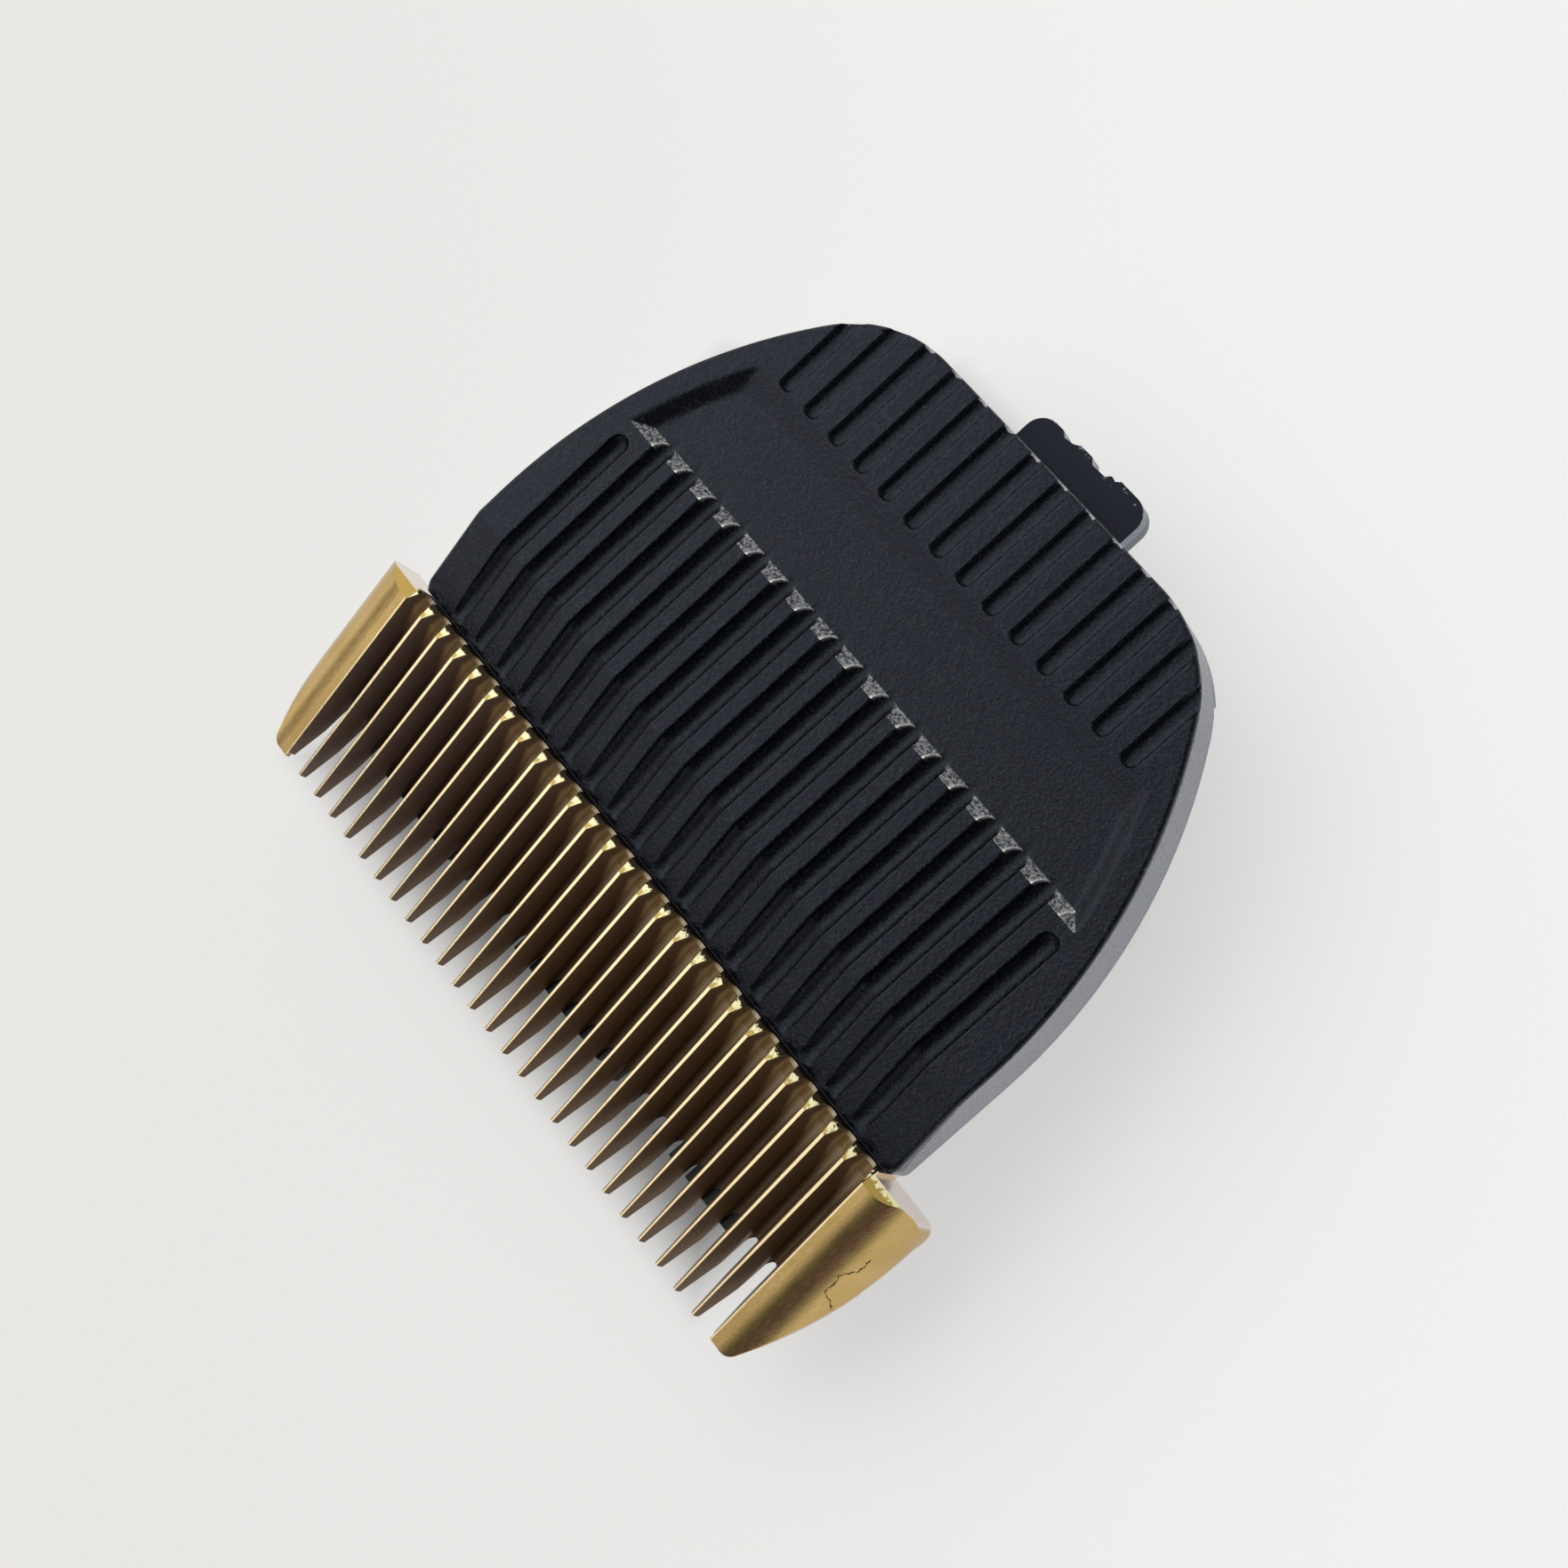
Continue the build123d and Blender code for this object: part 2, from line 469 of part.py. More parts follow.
def make_spring_frame():
    """Frame: two pads under the comb's plate, two rails that the head lies on, studs and rear bridge."""
    pad_outer = PLATE_WIDTH / 2 - PAD_MARGIN
    rail_rear = PAD_FRONT_Y + RAIL_LENGTH
    stud_radius = COIL_RADIUS - WIRE / 2 - STUD_CLEARANCE
    stud_length = COIL_TURNS * COIL_PITCH + WIRE + COIL_INSET + STUD_CLEARANCE
    frame = Part()
    tools = []
    for side in BOTH_SIDES:
        xs = sorted((side * WINDOW_WIDTH / 2, side * pad_outer))
        pad = block(*xs, PAD_FRONT_Y, PLATE_REAR_Y, PAD_FOOT_Z, SHEAR_HEIGHT)
        outer = pad.edges().filter_by(Axis.Z).group_by(Axis.X)[0 if side < 0 else -1]
        frame += fillet(outer, PAD_THICKNESS)
        xs = sorted((side * (RAIL_X - RAIL_WALL / 2), side * (RAIL_X + RAIL_WALL / 2)))
        rail = block(*xs, PAD_FRONT_Y, rail_rear, 0, SHEAR_HEIGHT)
        ends = rail.edges().filter_by(Axis.X).group_by(Axis.Z)[0]
        frame += fillet(ends, PAD_THICKNESS)
        stud = Rot(0, 90, 0) * Cylinder(stud_radius, stud_length + RAIL_WALL / 2)
        stud_x = RAIL_X - RAIL_WALL / 4 - stud_length / 2
        frame += Pos(side * stud_x, COIL_Y, COIL_Z) * stud
        hole = Cylinder(SCREW_RADIUS + SLIDE_GAP, CUT_MARGIN)
        tools.append(Pos(side * SCREW_SPACING / 2, SCREW_Y, PAD_FOOT_Z) * hole)
        head_room = Cylinder(SCREW_HEAD_RADIUS + SCREW_HEAD_GAP, PAD_FOOT_Z)
        tools.append(Pos(side * SCREW_SPACING / 2, SCREW_Y, PAD_FOOT_Z / 2) * head_room)
    bridge_y = FORK_REAR_Y + BRIDGE_GAP
    frame += block(-RAIL_X, RAIL_X, bridge_y, bridge_y + BRIDGE_LENGTH, SHEAR_HEIGHT - BRIDGE_HEIGHT, SHEAR_HEIGHT)
    return frame - tools


def make_spring(side):
    """Torsion spring: close coil on its stud, long arm under the carrier, short arm under the pad."""
    radius = WIRE / 2
    outer_x = RAIL_X - RAIL_WALL / 2 - COIL_INSET - radius
    inner_x = outer_x - COIL_TURNS * COIL_PITCH
    pad_y = CUTTER_REAR_Y - ARM_PAD_SETBACK - CARRIER_LENGTH / 2
    pad_z = CARRIER_FOOT_Z - SPRING_GAP - radius
    reach = math.hypot(COIL_Y - pad_y, COIL_Z - pad_z)
    dip = math.asin(COIL_RADIUS / reach) - math.atan2(COIL_Z - pad_z, COIL_Y - pad_y)
    lean = math.radians(SHORT_ARM_LEAN)

    def on_coil(x, angle):
        return Vector(x, COIL_Y + COIL_RADIUS * math.sin(angle), COIL_Z - COIL_RADIUS * math.cos(angle))

    start = on_coil(inner_x, -dip)
    bends = [(start, on_coil(inner_x, -dip / 2), on_coil(inner_x, 0))]
    for i in range(2 * COIL_TURNS):
        x = inner_x + COIL_PITCH / 2 * i
        turn = math.pi * i
        middle = on_coil(x + COIL_PITCH / 4, turn + math.pi / 2)
        bends.append((on_coil(x, turn), middle, on_coil(x + COIL_PITCH / 2, turn + math.pi)))
    end = on_coil(outer_x, lean)
    bends.append((on_coil(outer_x, 0), on_coil(outer_x, lean / 2), end))
    arm_start = Vector(inner_x, pad_y, start.Z + (start.Y - pad_y) * math.tan(dip))
    rise = PAD_FOOT_Z - SPRING_GAP - radius - end.Z
    arm_end = end + Vector(0, rise / math.tan(lean), rise)
    arcs = [Edge.make_three_point_arc(*bend) for bend in bends]
    path = Wire([Edge.make_line(arm_start, start)] + arcs + [Edge.make_line(end, arm_end)])
    section = Plane(origin=arm_start, z_dir=start - arm_start) * Circle(radius)
    spring = sweep(section, path=path)
    return spring if side > 0 else mirror(spring, about=Plane.YZ)


def make_frame_screws():
    """Two pan-head screws from below through pad and plate into the cover's bosses."""
    screws = []
    length = TOP_Z - COVER_SKIN - SCREW_TIP_GAP - PAD_FOOT_Z
    for side in BOTH_SIDES:
        head = Cylinder(SCREW_HEAD_RADIUS, SCREW_HEAD_HEIGHT)
        foot = head.edges().group_by(Axis.Z)[0]
        head = fillet(foot, SCREW_HEAD_HEIGHT / 2)
        head = Pos(0, 0, PAD_FOOT_Z - SCREW_HEAD_HEIGHT / 2) * head
        shank = Pos(0, 0, PAD_FOOT_Z + length / 2) * Cylinder(SCREW_RADIUS, length)
        low_z = PAD_FOOT_Z - SCREW_HEAD_HEIGHT
        cross = Box(RECESS_REACH, RECESS_WIDTH, 2 * SCREW_RECESS_DEPTH)
        cross += Box(RECESS_WIDTH, RECESS_REACH, 2 * SCREW_RECESS_DEPTH)
        screw = head + shank - Pos(0, 0, low_z) * cross
        screws.append(Pos(side * SCREW_SPACING / 2, SCREW_Y, 0) * screw)
    return Compound(children=[part.solid() for part in screws])


os.makedirs("parts", exist_ok=True)
export_step(make_cover(), "parts/cover.step")
export_step(make_fixed_blade(), "parts/fixed_blade.step")
export_step(make_moving_blade(), "parts/moving_blade.step")
export_step(make_cutter_carrier(), "parts/cutter_carrier.step")
export_step(make_spring_frame(), "parts/spring_frame.step")
export_step(make_spring(-1), "parts/spring_left.step")
export_step(make_spring(1), "parts/spring_right.step")
export_step(make_frame_screws(), "parts/frame_screws.step")
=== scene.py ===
import math

import bpy
import numpy as np
from mathutils import Matrix


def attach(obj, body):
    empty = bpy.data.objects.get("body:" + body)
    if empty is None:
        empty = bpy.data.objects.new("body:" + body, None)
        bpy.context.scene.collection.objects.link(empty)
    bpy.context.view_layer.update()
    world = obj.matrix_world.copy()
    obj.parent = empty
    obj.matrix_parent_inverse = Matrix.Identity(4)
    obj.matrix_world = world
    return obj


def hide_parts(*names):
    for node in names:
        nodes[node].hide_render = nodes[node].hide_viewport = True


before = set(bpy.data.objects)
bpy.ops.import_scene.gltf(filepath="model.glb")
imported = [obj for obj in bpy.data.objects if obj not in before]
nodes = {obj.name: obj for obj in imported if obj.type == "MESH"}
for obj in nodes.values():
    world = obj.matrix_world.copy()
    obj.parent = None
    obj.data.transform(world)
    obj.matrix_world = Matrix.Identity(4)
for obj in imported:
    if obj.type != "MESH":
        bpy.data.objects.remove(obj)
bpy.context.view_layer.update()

# Sizes of the head, in millimetres
MM = 0.001
TIP_Y = -21.1
FRONT_Y = -9.0
REAR_Y = 18.8
HOOK_Y = 21.1
SHEAR_Z = 5.3
TOP_Z = 9.6
COVER_HALF = 20.15
SIDE_RADIUS = 30.0
ARC_Y = -2.3
CORNER_RADIUS = 7.5
FRONT_CORNER = 0.6
SEAM = 0.12
EDGE_Y = FRONT_Y + SEAM
SLOPE = math.tan(math.radians(19.4))
BREAK_Y = -3.86
RIB_PITCH = 2.033
FRONT_GROOVES = 18
REAR_GROOVES = 14
CLOSED_MARGIN = 0.7
STEP_Y = 5.2
STEP_RUN = 0.67
STEP_END_Y = STEP_Y + STEP_RUN
RECESS_REAR_Y = 12.0
RECESS_REAR_RUN = 1.5
RECESS_INSET = 1.35
RECESS_SIDE_RUN = 0.78
RECESS_DEPTH = 0.48
TOOTH_PITCH = 1.525
RIDGE_WIDTH = 0.17
RIDGE_SLOPE = math.tan(math.radians(16.2))
TIP_HEIGHT = 0.32
RIDGE_Z = SHEAR_Z + TIP_HEIGHT - RIDGE_SLOPE * TIP_Y
KINK_Y = -9.85
BEVEL_SLOPE = math.tan(math.radians(24.0))
GUARD_INNER = 19.74
GUARD_SHOULDER = 20.3
GUARD_RADIUS = 2.7

# Sizes of the dressed cover alone: grooves fitted to the photograph, and rounded corners
GROOVE_WIDTH = 1.16
GROOVE_DEPTH = 0.47
GROOVE_END_Y = -8.6
GROOVE_POWER = 2.0
GROOVE_TAPER = 0.35
GROOVE_PAST_STEP = 0.5
REAR_WIDTH = 1.0
REAR_DEPTH = 0.33
REAR_SHIFT = 0.12
REAR_POWER = 2.8
BRINK = 0.09
BRINK_WALL = 4.0
BREAK_SOFT = 0.05
STEP_SOFT = 0.05
RECESS_REAR_SOFT = 0.12
RECESS_SIDE_SOFT = 0.10
NO_GROOVE_Z = TOP_Z + 9.0
IN_GROOVE_DEPTH = 0.1
RIM_RADIUS = 0.2
FRONT_ROLL = 0.12

# Coat and its wear: the grooves' extra depth at the step, the bare step, and the burrs beside it, whose
# near-white colour is a painted glint
COAT = 0.03
FRONT_HEM = 0.3
STEP_SINK = 0.05
SINK_LEAD = 0.8
SINK_LEAD_RUN = 1.2
SINK_TAIL = 0.35
SINK_TAIL_RUN = 0.3
STEP_FADE = 0.04
STEP_MIN_DROP = 0.005
BARE_BAND = 0.03
BURR_HEIGHT = 0.06
BURR_HALF = 0.07
BURR_OUT = 0.04
WEAR_AND_GLINT_NAMES = ("edge_mm", "bare_step", "burr_glint", "in_groove")

# How far the coat hangs down the side wall, from the front to the rear
HEM_Y = (-8.9, -8.0, -7.0, -6.0, -5.0, -4.0, -3.0, -2.0, 4.0, 8.0, 12.0)
HEM_DEPTH = (1.15, 1.0, 0.78, 0.7, 0.55, 0.45, 0.33, 0.25, 0.25, 0.42, 0.45)
HEM_ROWS = (0.6, 0.97, 1.0)
HEM_TUCK = 0.01
HEM_WEAR = 0.12

# Rows of the coat's grid as (from, to, step), and its columns from a groove's middle in half widths
COAT_ROWS = (
    (EDGE_Y + FRONT_ROLL, GROOVE_END_Y + 0.6, 0.08),
    (GROOVE_END_Y + 0.6, BREAK_Y - 0.3, 0.16),
    (BREAK_Y - 0.3, BREAK_Y + 0.3, 0.06),
    (BREAK_Y + 0.3, 3.5, 0.3),
    (3.5, STEP_Y - 0.3, 0.08),
    (STEP_Y - 0.3, STEP_END_Y + 0.3, 0.032),
    (STEP_END_Y + 0.3, 10.2, 0.24),
    (10.2, 11.8, 0.1),
    (11.8, 12.9, 0.05),
    (12.9, REAR_Y - 1, 0.2),
    (REAR_Y - 1, REAR_Y - RIM_RADIUS, 0.04),
)
COAT_COLUMNS = (0, 0.24, 0.48, 0.69, 0.83, 0.93, 1.0, 1.07, 1.17, 1.4)

# Triangles left out: slivers of the coat and of the casting, and the casting's faces that the coat covers
COAT_SLIVER = 1e-7
CAST_SLIVER = 1e-9
COVERED_TILT = 0.02
COVERED_DEPTH = 1.0

# Crack in the right guard's gold: bends as (x, y), points along it, half width, lift and the place of a pit
CRACK_BENDS = (
    (22.36, -12.09), (22.40, -12.60), (22.35, -13.02), (22.09, -13.47), (21.94, -13.80), (22.04, -14.17),
    (21.98, -14.76), (22.02, -14.96), (22.39, -15.08), (22.56, -15.31), (22.67, -15.40),
)
CRACK_POINTS = 140
CRACK_HALF = 0.021
CRACK_LIFT = 0.004
CRACK_PIT_AT = 8.75


# Surfaces worked out with numpy

def soft_min(a, b, k):
    """Smaller of two heights, with the corner between them rounded over a band k wide."""
    h = np.clip(0.5 + 0.5 * (b - a) / k, 0, 1)
    return b + (a - b) * h - k * h * (1 - h)


def soft_max(a, b, k):
    """Larger of two heights, with the corner between them rounded over a band k wide."""
    return -soft_min(-a, -b, k)


def corner_centre():
    """Centre of the rear corner arc: CORNER_RADIUS from the rear edge and inside the side arc."""
    cy = REAR_Y - CORNER_RADIUS
    cx = COVER_HALF - SIDE_RADIUS + math.sqrt((SIDE_RADIUS - CORNER_RADIUS) ** 2 - (cy - ARC_Y) ** 2)
    return cx, cy


def half_width(y, inset):
    """Half the cover's width at y, for its outline moved in by inset.

    A small front corner, a straight side up to ARC_Y, an arc of SIDE_RADIUS, then the rear corner arc.
    """
    radius = SIDE_RADIUS - inset
    arc = COVER_HALF - SIDE_RADIUS + np.sqrt(np.maximum(radius ** 2 - (y - ARC_Y) ** 2, 0))
    side = np.where(y < ARC_Y, COVER_HALF - inset, arc)
    cx, cy = corner_centre()
    turn = cx + np.sqrt(np.maximum((CORNER_RADIUS - inset) ** 2 - (y - cy) ** 2, 0))
    meet = ARC_Y + (cy - ARC_Y) * radius / (SIDE_RADIUS - CORNER_RADIUS)
    ahead = EDGE_Y + FRONT_CORNER - y
    nose = COVER_HALF - FRONT_CORNER + np.sqrt(np.maximum((FRONT_CORNER - inset) ** 2 - ahead ** 2, 0))
    return np.where(ahead > 0, nose, np.where(y < meet, side, turn))


def bare_top(y):
    """Height of the cover's top without grooves: level behind BREAK_Y, falling on the slope ahead of it."""
    return TOP_Z - soft_max(SLOPE * (BREAK_Y - y), np.zeros_like(y), BREAK_SOFT)


def from_groove(x, y, count, shift, y_low, y_outer, y_inner):
    """Distance from the middle line of the nearest groove in a bank of count, whose lines start at y_low.

    The two outermost lines end at y_outer and the others at y_inner.
    """
    i = np.clip(np.round((x - shift) / RIB_PITCH + (count - 1) / 2), 0, count - 1)
    dx = x - shift - (i - (count - 1) / 2) * RIB_PITCH
    stop = np.where((i == 0) | (i == count - 1), y_outer, y_inner)
    return np.hypot(dx, np.maximum(y - stop, 0) + np.minimum(y - y_low, 0))


def groove_drop(away, half, full, power):
    """Depth of a groove at a distance from its middle line.

    It is (1 - u ** power) ** (1 / power) of the full depth, where u is the distance over the half width. Past
    the brink the wall runs on upwards.
    """
    u = np.minimum(away / half, 1)
    return full * (1 - u ** power) ** (1 / power) - BRINK_WALL * np.maximum(away - half, 0)


def groove_floor(x, y):
    """Height of the lowest groove over each point, or a height above the top where there is none.

    Closed ends are round. Ahead of BREAK_Y the front grooves keep to the slope and run out: their depth
    follows a quarter ellipse, and they narrow a little.
    """
    run = np.clip((BREAK_Y - y) / (BREAK_Y - GROOVE_END_Y), 0, 1)
    half = GROOVE_WIDTH / 2 * (1 - GROOVE_TAPER * run ** 4)
    full = GROOVE_DEPTH * np.sqrt(1 - run ** 2) * np.where(run > 0, math.hypot(1, SLOPE), 1)
    closed_y = STEP_Y - CLOSED_MARGIN - GROOVE_WIDTH / 2
    away = from_groove(x, y, FRONT_GROOVES, 0.0, TIP_Y, closed_y, REAR_Y)
    front = bare_top(y) - groove_drop(away, half, full, GROOVE_POWER)
    front = np.where((y > STEP_END_Y + GROOVE_PAST_STEP) | (run == 1), NO_GROOVE_Z, front)
    away = from_groove(x, y, REAR_GROOVES, REAR_SHIFT, RECESS_REAR_Y + REAR_WIDTH / 2, HOOK_Y, HOOK_Y)
    rear = TOP_Z - groove_drop(away, REAR_WIDTH / 2, REAR_DEPTH, REAR_POWER)
    return np.minimum(front, rear)


def in_groove(x, y):
    """1 inside the grooves, 0 on the lands, with a short change at the brinks."""
    return np.clip((bare_top(y) - groove_floor(x, y)) / IN_GROOVE_DEPTH, 0, 1)


def step_plane(y):
    """Height of the slanted step that leads down into the thumb recess."""
    return TOP_Z - (y - STEP_Y) * RECESS_DEPTH / STEP_RUN


def recess_floor(x, y):
    """Height of the thumb recess: the highest of its floor, front step, rear rise and two conical sides."""
    rise = TOP_Z - (RECESS_REAR_Y - y) * RECESS_DEPTH / RECESS_REAR_RUN
    reach = np.hypot(np.abs(x) + SIDE_RADIUS - COVER_HALF, y - ARC_Y)
    side = TOP_Z - (SIDE_RADIUS - RECESS_INSET - reach) * RECESS_DEPTH / RECESS_SIDE_RUN
    height = soft_max(np.full_like(x, TOP_Z - RECESS_DEPTH), step_plane(y), STEP_SOFT)
    return soft_max(soft_max(height, rise, RECESS_REAR_SOFT), side, RECESS_SIDE_SOFT)


def coat_surface(x, y):
    """Height of the coated top, where the step is bare, and where a raised burr lines the step's ends; the
    burr is painted near-white as a painted glint.

    The height is the lowest of the bare top, the recess and the grooves, with rounded brinks. The front
    grooves deepen a little at the step, so that they run out into the recess and leave a bare land between
    each two.
    """
    recess = recess_floor(x, y)
    top = soft_min(bare_top(y), recess, STEP_SOFT)
    sink = STEP_SINK * np.clip((y - STEP_Y + SINK_LEAD) / SINK_LEAD_RUN, 0, 1)
    sink = sink * np.clip((STEP_END_Y + SINK_TAIL - y) / SINK_TAIL_RUN, 0, 1)
    groove = groove_floor(x, y) - sink
    height = soft_min(top, groove, BRINK)
    at_step = np.clip((y - STEP_Y + STEP_FADE) / STEP_FADE, 0, 1)
    at_step = at_step * np.clip((STEP_END_Y + STEP_FADE - y) / STEP_FADE, 0, 1)
    at_step = at_step * (recess < TOP_Z - STEP_MIN_DROP)
    bare = at_step * np.clip(1.5 - np.abs(height - step_plane(y)) / BARE_BAND, 0, 1) * (groove > recess)
    beside = x - (np.round(x / RIB_PITCH - 0.5) + 0.5) * RIB_PITCH
    level = np.clip((TOP_Z - top - sink) / GROOVE_DEPTH, 0, 1)
    brink = GROOVE_WIDTH / 2 * (1 - level ** GROOVE_POWER) ** (1 / GROOVE_POWER)
    burr_glint = at_step * np.clip(1.6 - np.abs(beside + brink + BURR_OUT) / BURR_HALF, 0, 1) * (beside < 0)
    return np.minimum(height + BURR_HEIGHT * burr_glint, TOP_Z), bare, burr_glint


def front_drop(y):
    """Drop of the coat over the cover's front edge, a quarter round of radius FRONT_ROLL."""
    t = np.clip((EDGE_Y + FRONT_ROLL - y) / FRONT_ROLL, 0, 1)
    return FRONT_ROLL * (1 - np.sqrt(1 - t ** 2))


def graded(*stops):
    """Positions from one stop to the next: each stop is (from, to, step)."""
    runs = [np.linspace(a, b, max(2, int(round((b - a) / step)) + 1))[:-1] for a, b, step in stops]
    return np.append(np.concatenate(runs), stops[-1][1])


def grid_triangles(rows, columns):
    """Two triangles for each cell of a grid of points stored row by row."""
    i = (np.arange(rows - 1)[:, None] * columns + np.arange(columns - 1)[None, :]).ravel()
    lower = np.stack([i, i + 1, i + columns + 1], -1)
    upper = np.stack([i, i + columns + 1, i + columns], -1)
    return np.concatenate([lower, upper])


def coat_field():
    """Top of the coat as a height field: columns along the grooves, held inside the rim.

    The first row hangs down the cover's front face. Returns points, triangles and the four wear measures; the
    burr's measure also places a painted glint.
    """
    roll = EDGE_Y + FRONT_ROLL * (1 - np.cos(np.linspace(0, math.pi / 2, 6)))[:-1]
    y = np.concatenate([roll, graded(*COAT_ROWS)])
    across = GROOVE_WIDTH / 2 * np.array(COAT_COLUMNS)
    across = np.concatenate([-across[:0:-1], across, [RIB_PITCH / 2]])
    middles = (np.arange(-10, 10)[:, None] + 0.5) * RIB_PITCH
    x = np.unique(np.round((across[None, :] + middles).ravel(), 5))
    gx, gy = np.meshgrid(x, y)
    wide = half_width(gy, RIM_RADIUS)
    gx = np.clip(gx, -wide, wide)
    height, bare, burr_glint = coat_surface(gx, gy)
    points = np.stack([gx, gy, height - front_drop(gy)], -1)
    hem = points[:1] + np.array([0, -COAT, -FRONT_HEM])
    points = np.concatenate([hem, points]).reshape(-1, 3)
    edge = np.minimum(half_width(gy, 0) - np.abs(gx), REAR_Y - gy)
    measures = [np.concatenate([v[:1], v]).ravel() for v in (edge, bare, burr_glint, in_groove(gx, gy))]
    tri = grid_triangles(len(y) + 1, len(x))
    a, b, c = (points[tri[:, k]] for k in range(3))
    return points, tri[np.linalg.norm(np.cross(b - a, c - a), axis=1) > COAT_SLIVER], measures


def outline_arc(centre, radius, angle):
    """Points on an arc of the outline, and the unit vectors that point out of it there."""
    unit = np.stack([np.cos(angle), np.sin(angle)], -1)
    return np.array(centre) + radius * unit, unit


def cover_outline():
    """Points along the cover's outline, and the unit vectors that point out of it there.

    It runs from the right front corner round the rear to the left front corner.
    """
    cx, cy = corner_centre()
    begin = math.atan2(cy - ARC_Y, cx + SIDE_RADIUS - COVER_HALF)
    nose = np.linspace(-math.pi / 2, 0, 9)
    side = np.linspace(0, begin, 130)
    turn = np.linspace(begin, math.pi / 2, 170)
    straight = graded((EDGE_Y + FRONT_CORNER, ARC_Y, 0.3))[1:-1]
    rear_x = graded((0, cx, 0.05))[::-1][1:]
    runs = [
        outline_arc((COVER_HALF - FRONT_CORNER, EDGE_Y + FRONT_CORNER), FRONT_CORNER, nose),
        (np.stack([np.full_like(straight, COVER_HALF), straight], -1),
         np.tile([1.0, 0.0], (len(straight), 1))),
        outline_arc((COVER_HALF - SIDE_RADIUS, ARC_Y), SIDE_RADIUS, side),
        outline_arc((cx, cy), CORNER_RADIUS, turn[1:]),
        (np.stack([rear_x, np.full_like(rear_x, REAR_Y)], -1),
         np.tile([0.0, 1.0], (len(rear_x), 1))),
    ]
    path = np.concatenate([r[0] for r in runs])
    out = np.concatenate([r[1] for r in runs])
    mirror = np.array([-1.0, 1.0])
    path = np.concatenate([path, path[-2::-1] * mirror])
    out = np.concatenate([out, out[-2::-1] * mirror])
    return path, out


def rim_strip():
    """Coat rolled over the rim: a quarter round carried along the outline and a short way down the side.

    Where a groove runs out over the rear edge the strip drops to the groove. Returns points, triangles and
    the four wear measures; the burr's measure, which places a painted glint, is zero here.
    """
    path, out = cover_outline()
    roll = np.linspace(0, math.pi / 2, 7)
    inward = RIM_RADIUS * (1 - np.sin(roll)) - COAT * np.sin(roll) ** 4
    inward = np.append(inward, [-COAT, -COAT, HEM_TUCK])
    rows = len(inward)
    hem = np.interp(path[:, 1], HEM_Y, HEM_DEPTH) - RIM_RADIUS
    fall = np.append(RIM_RADIUS * (1 - np.cos(roll)), [RIM_RADIUS] * len(HEM_ROWS))[:, None]
    fall = fall + np.append(np.zeros(len(roll)), HEM_ROWS)[:, None] * hem[None]
    xy = path[None] - out[None] * inward[:, None, None]
    rx, ry = xy[..., 0], xy[..., 1]
    height = soft_min(bare_top(ry) - fall, groove_floor(rx, ry), BRINK)
    points = np.stack([rx, ry, height], -1).reshape(-1, 3)
    edge = np.repeat(RIM_RADIUS - np.linspace(0, 1, rows) * (RIM_RADIUS + HEM_WEAR), len(path))
    none = np.zeros(len(points))
    return points, grid_triangles(rows, len(path))[:, ::-1], [edge, none, none, in_groove(rx, ry).ravel()]


def casting_below_coat():
    """The cover solid less the upper faces that the coat stands for: points in millimetres and triangles."""
    solid = nodes["cover"].data
    points = np.empty(3 * len(solid.vertices), np.float32)
    solid.vertices.foreach_get("co", points)
    points, index = np.unique(np.round(points.reshape(-1, 3) / MM, 4), axis=0, return_inverse=True)
    solid.calc_loop_triangles()
    tri = np.empty(3 * len(solid.loop_triangles), np.int32)
    solid.loop_triangles.foreach_get("vertices", tri)
    tri = index.ravel()[tri].reshape(-1, 3)
    a, b, c = (points[tri[:, k]] for k in range(3))
    normal = np.cross(b - a, c - a)
    size = np.linalg.norm(normal, axis=1)
    middle = (a + b + c) / 3
    faces_up = normal[:, 2] > COVERED_TILT * size
    near_top = middle[:, 2] > bare_top(middle[:, 1]) - COVERED_DEPTH
    return points, tri[(size > CAST_SLIVER) & ~(faces_up & near_top)]


def add_piece(name, points, triangles, body, materials, which=None, attributes=(), sharp=None):
    """Mesh object at the origin from points in millimetres, smooth shaded, riding on a body."""
    mesh = bpy.data.meshes.new(name)
    triangles = np.asarray(triangles, np.int32)
    mesh.vertices.add(len(points))
    mesh.vertices.foreach_set("co", (np.asarray(points) * MM).astype(np.float32).ravel())
    mesh.loops.add(triangles.size)
    mesh.loops.foreach_set("vertex_index", triangles.ravel())
    mesh.polygons.add(len(triangles))
    mesh.polygons.foreach_set("loop_start", np.arange(0, triangles.size, 3, dtype=np.int32))
    for material in materials:
        mesh.materials.append(material)
    if which is not None:
        mesh.polygons.foreach_set("material_index", np.asarray(which, np.int32))
    mesh.polygons.foreach_set("use_smooth", np.ones(len(triangles), dtype=bool))
    mesh.update(calc_edges=True)
    for key, values in attributes:
        mesh.attributes.new(key, "FLOAT", "POINT").data.foreach_set("value", np.asarray(values, np.float32))
    if sharp:
        mesh.set_sharp_from_angle(angle=math.radians(sharp))
    piece = bpy.data.objects.new(name, mesh)
    bpy.context.scene.collection.objects.link(piece)
    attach(piece, body)
    return piece


def add_cover(coat, casting):
    """The cover as it looks: grey casting below, black coat with rounded brinks on top."""
    field, field_tri, field_wear_and_glint = coat_field()
    rim, rim_tri, rim_wear_and_glint = rim_strip()
    body, body_tri = casting_below_coat()
    points = np.concatenate([field, rim, body])
    tri = np.concatenate([field_tri, rim_tri + len(field), body_tri + len(field) + len(rim)])
    which = np.append(np.zeros(len(field_tri) + len(rim_tri)), np.ones(len(body_tri)))
    wear_and_glint = [np.concatenate([a, b, np.zeros(len(body))]) for a, b in zip(field_wear_and_glint, rim_wear_and_glint)]
    named = list(zip(WEAR_AND_GLINT_NAMES, wear_and_glint))
    piece = add_piece("cover_shell", points, tri, "head", [coat, casting], which, named, 45)
    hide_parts("cover")


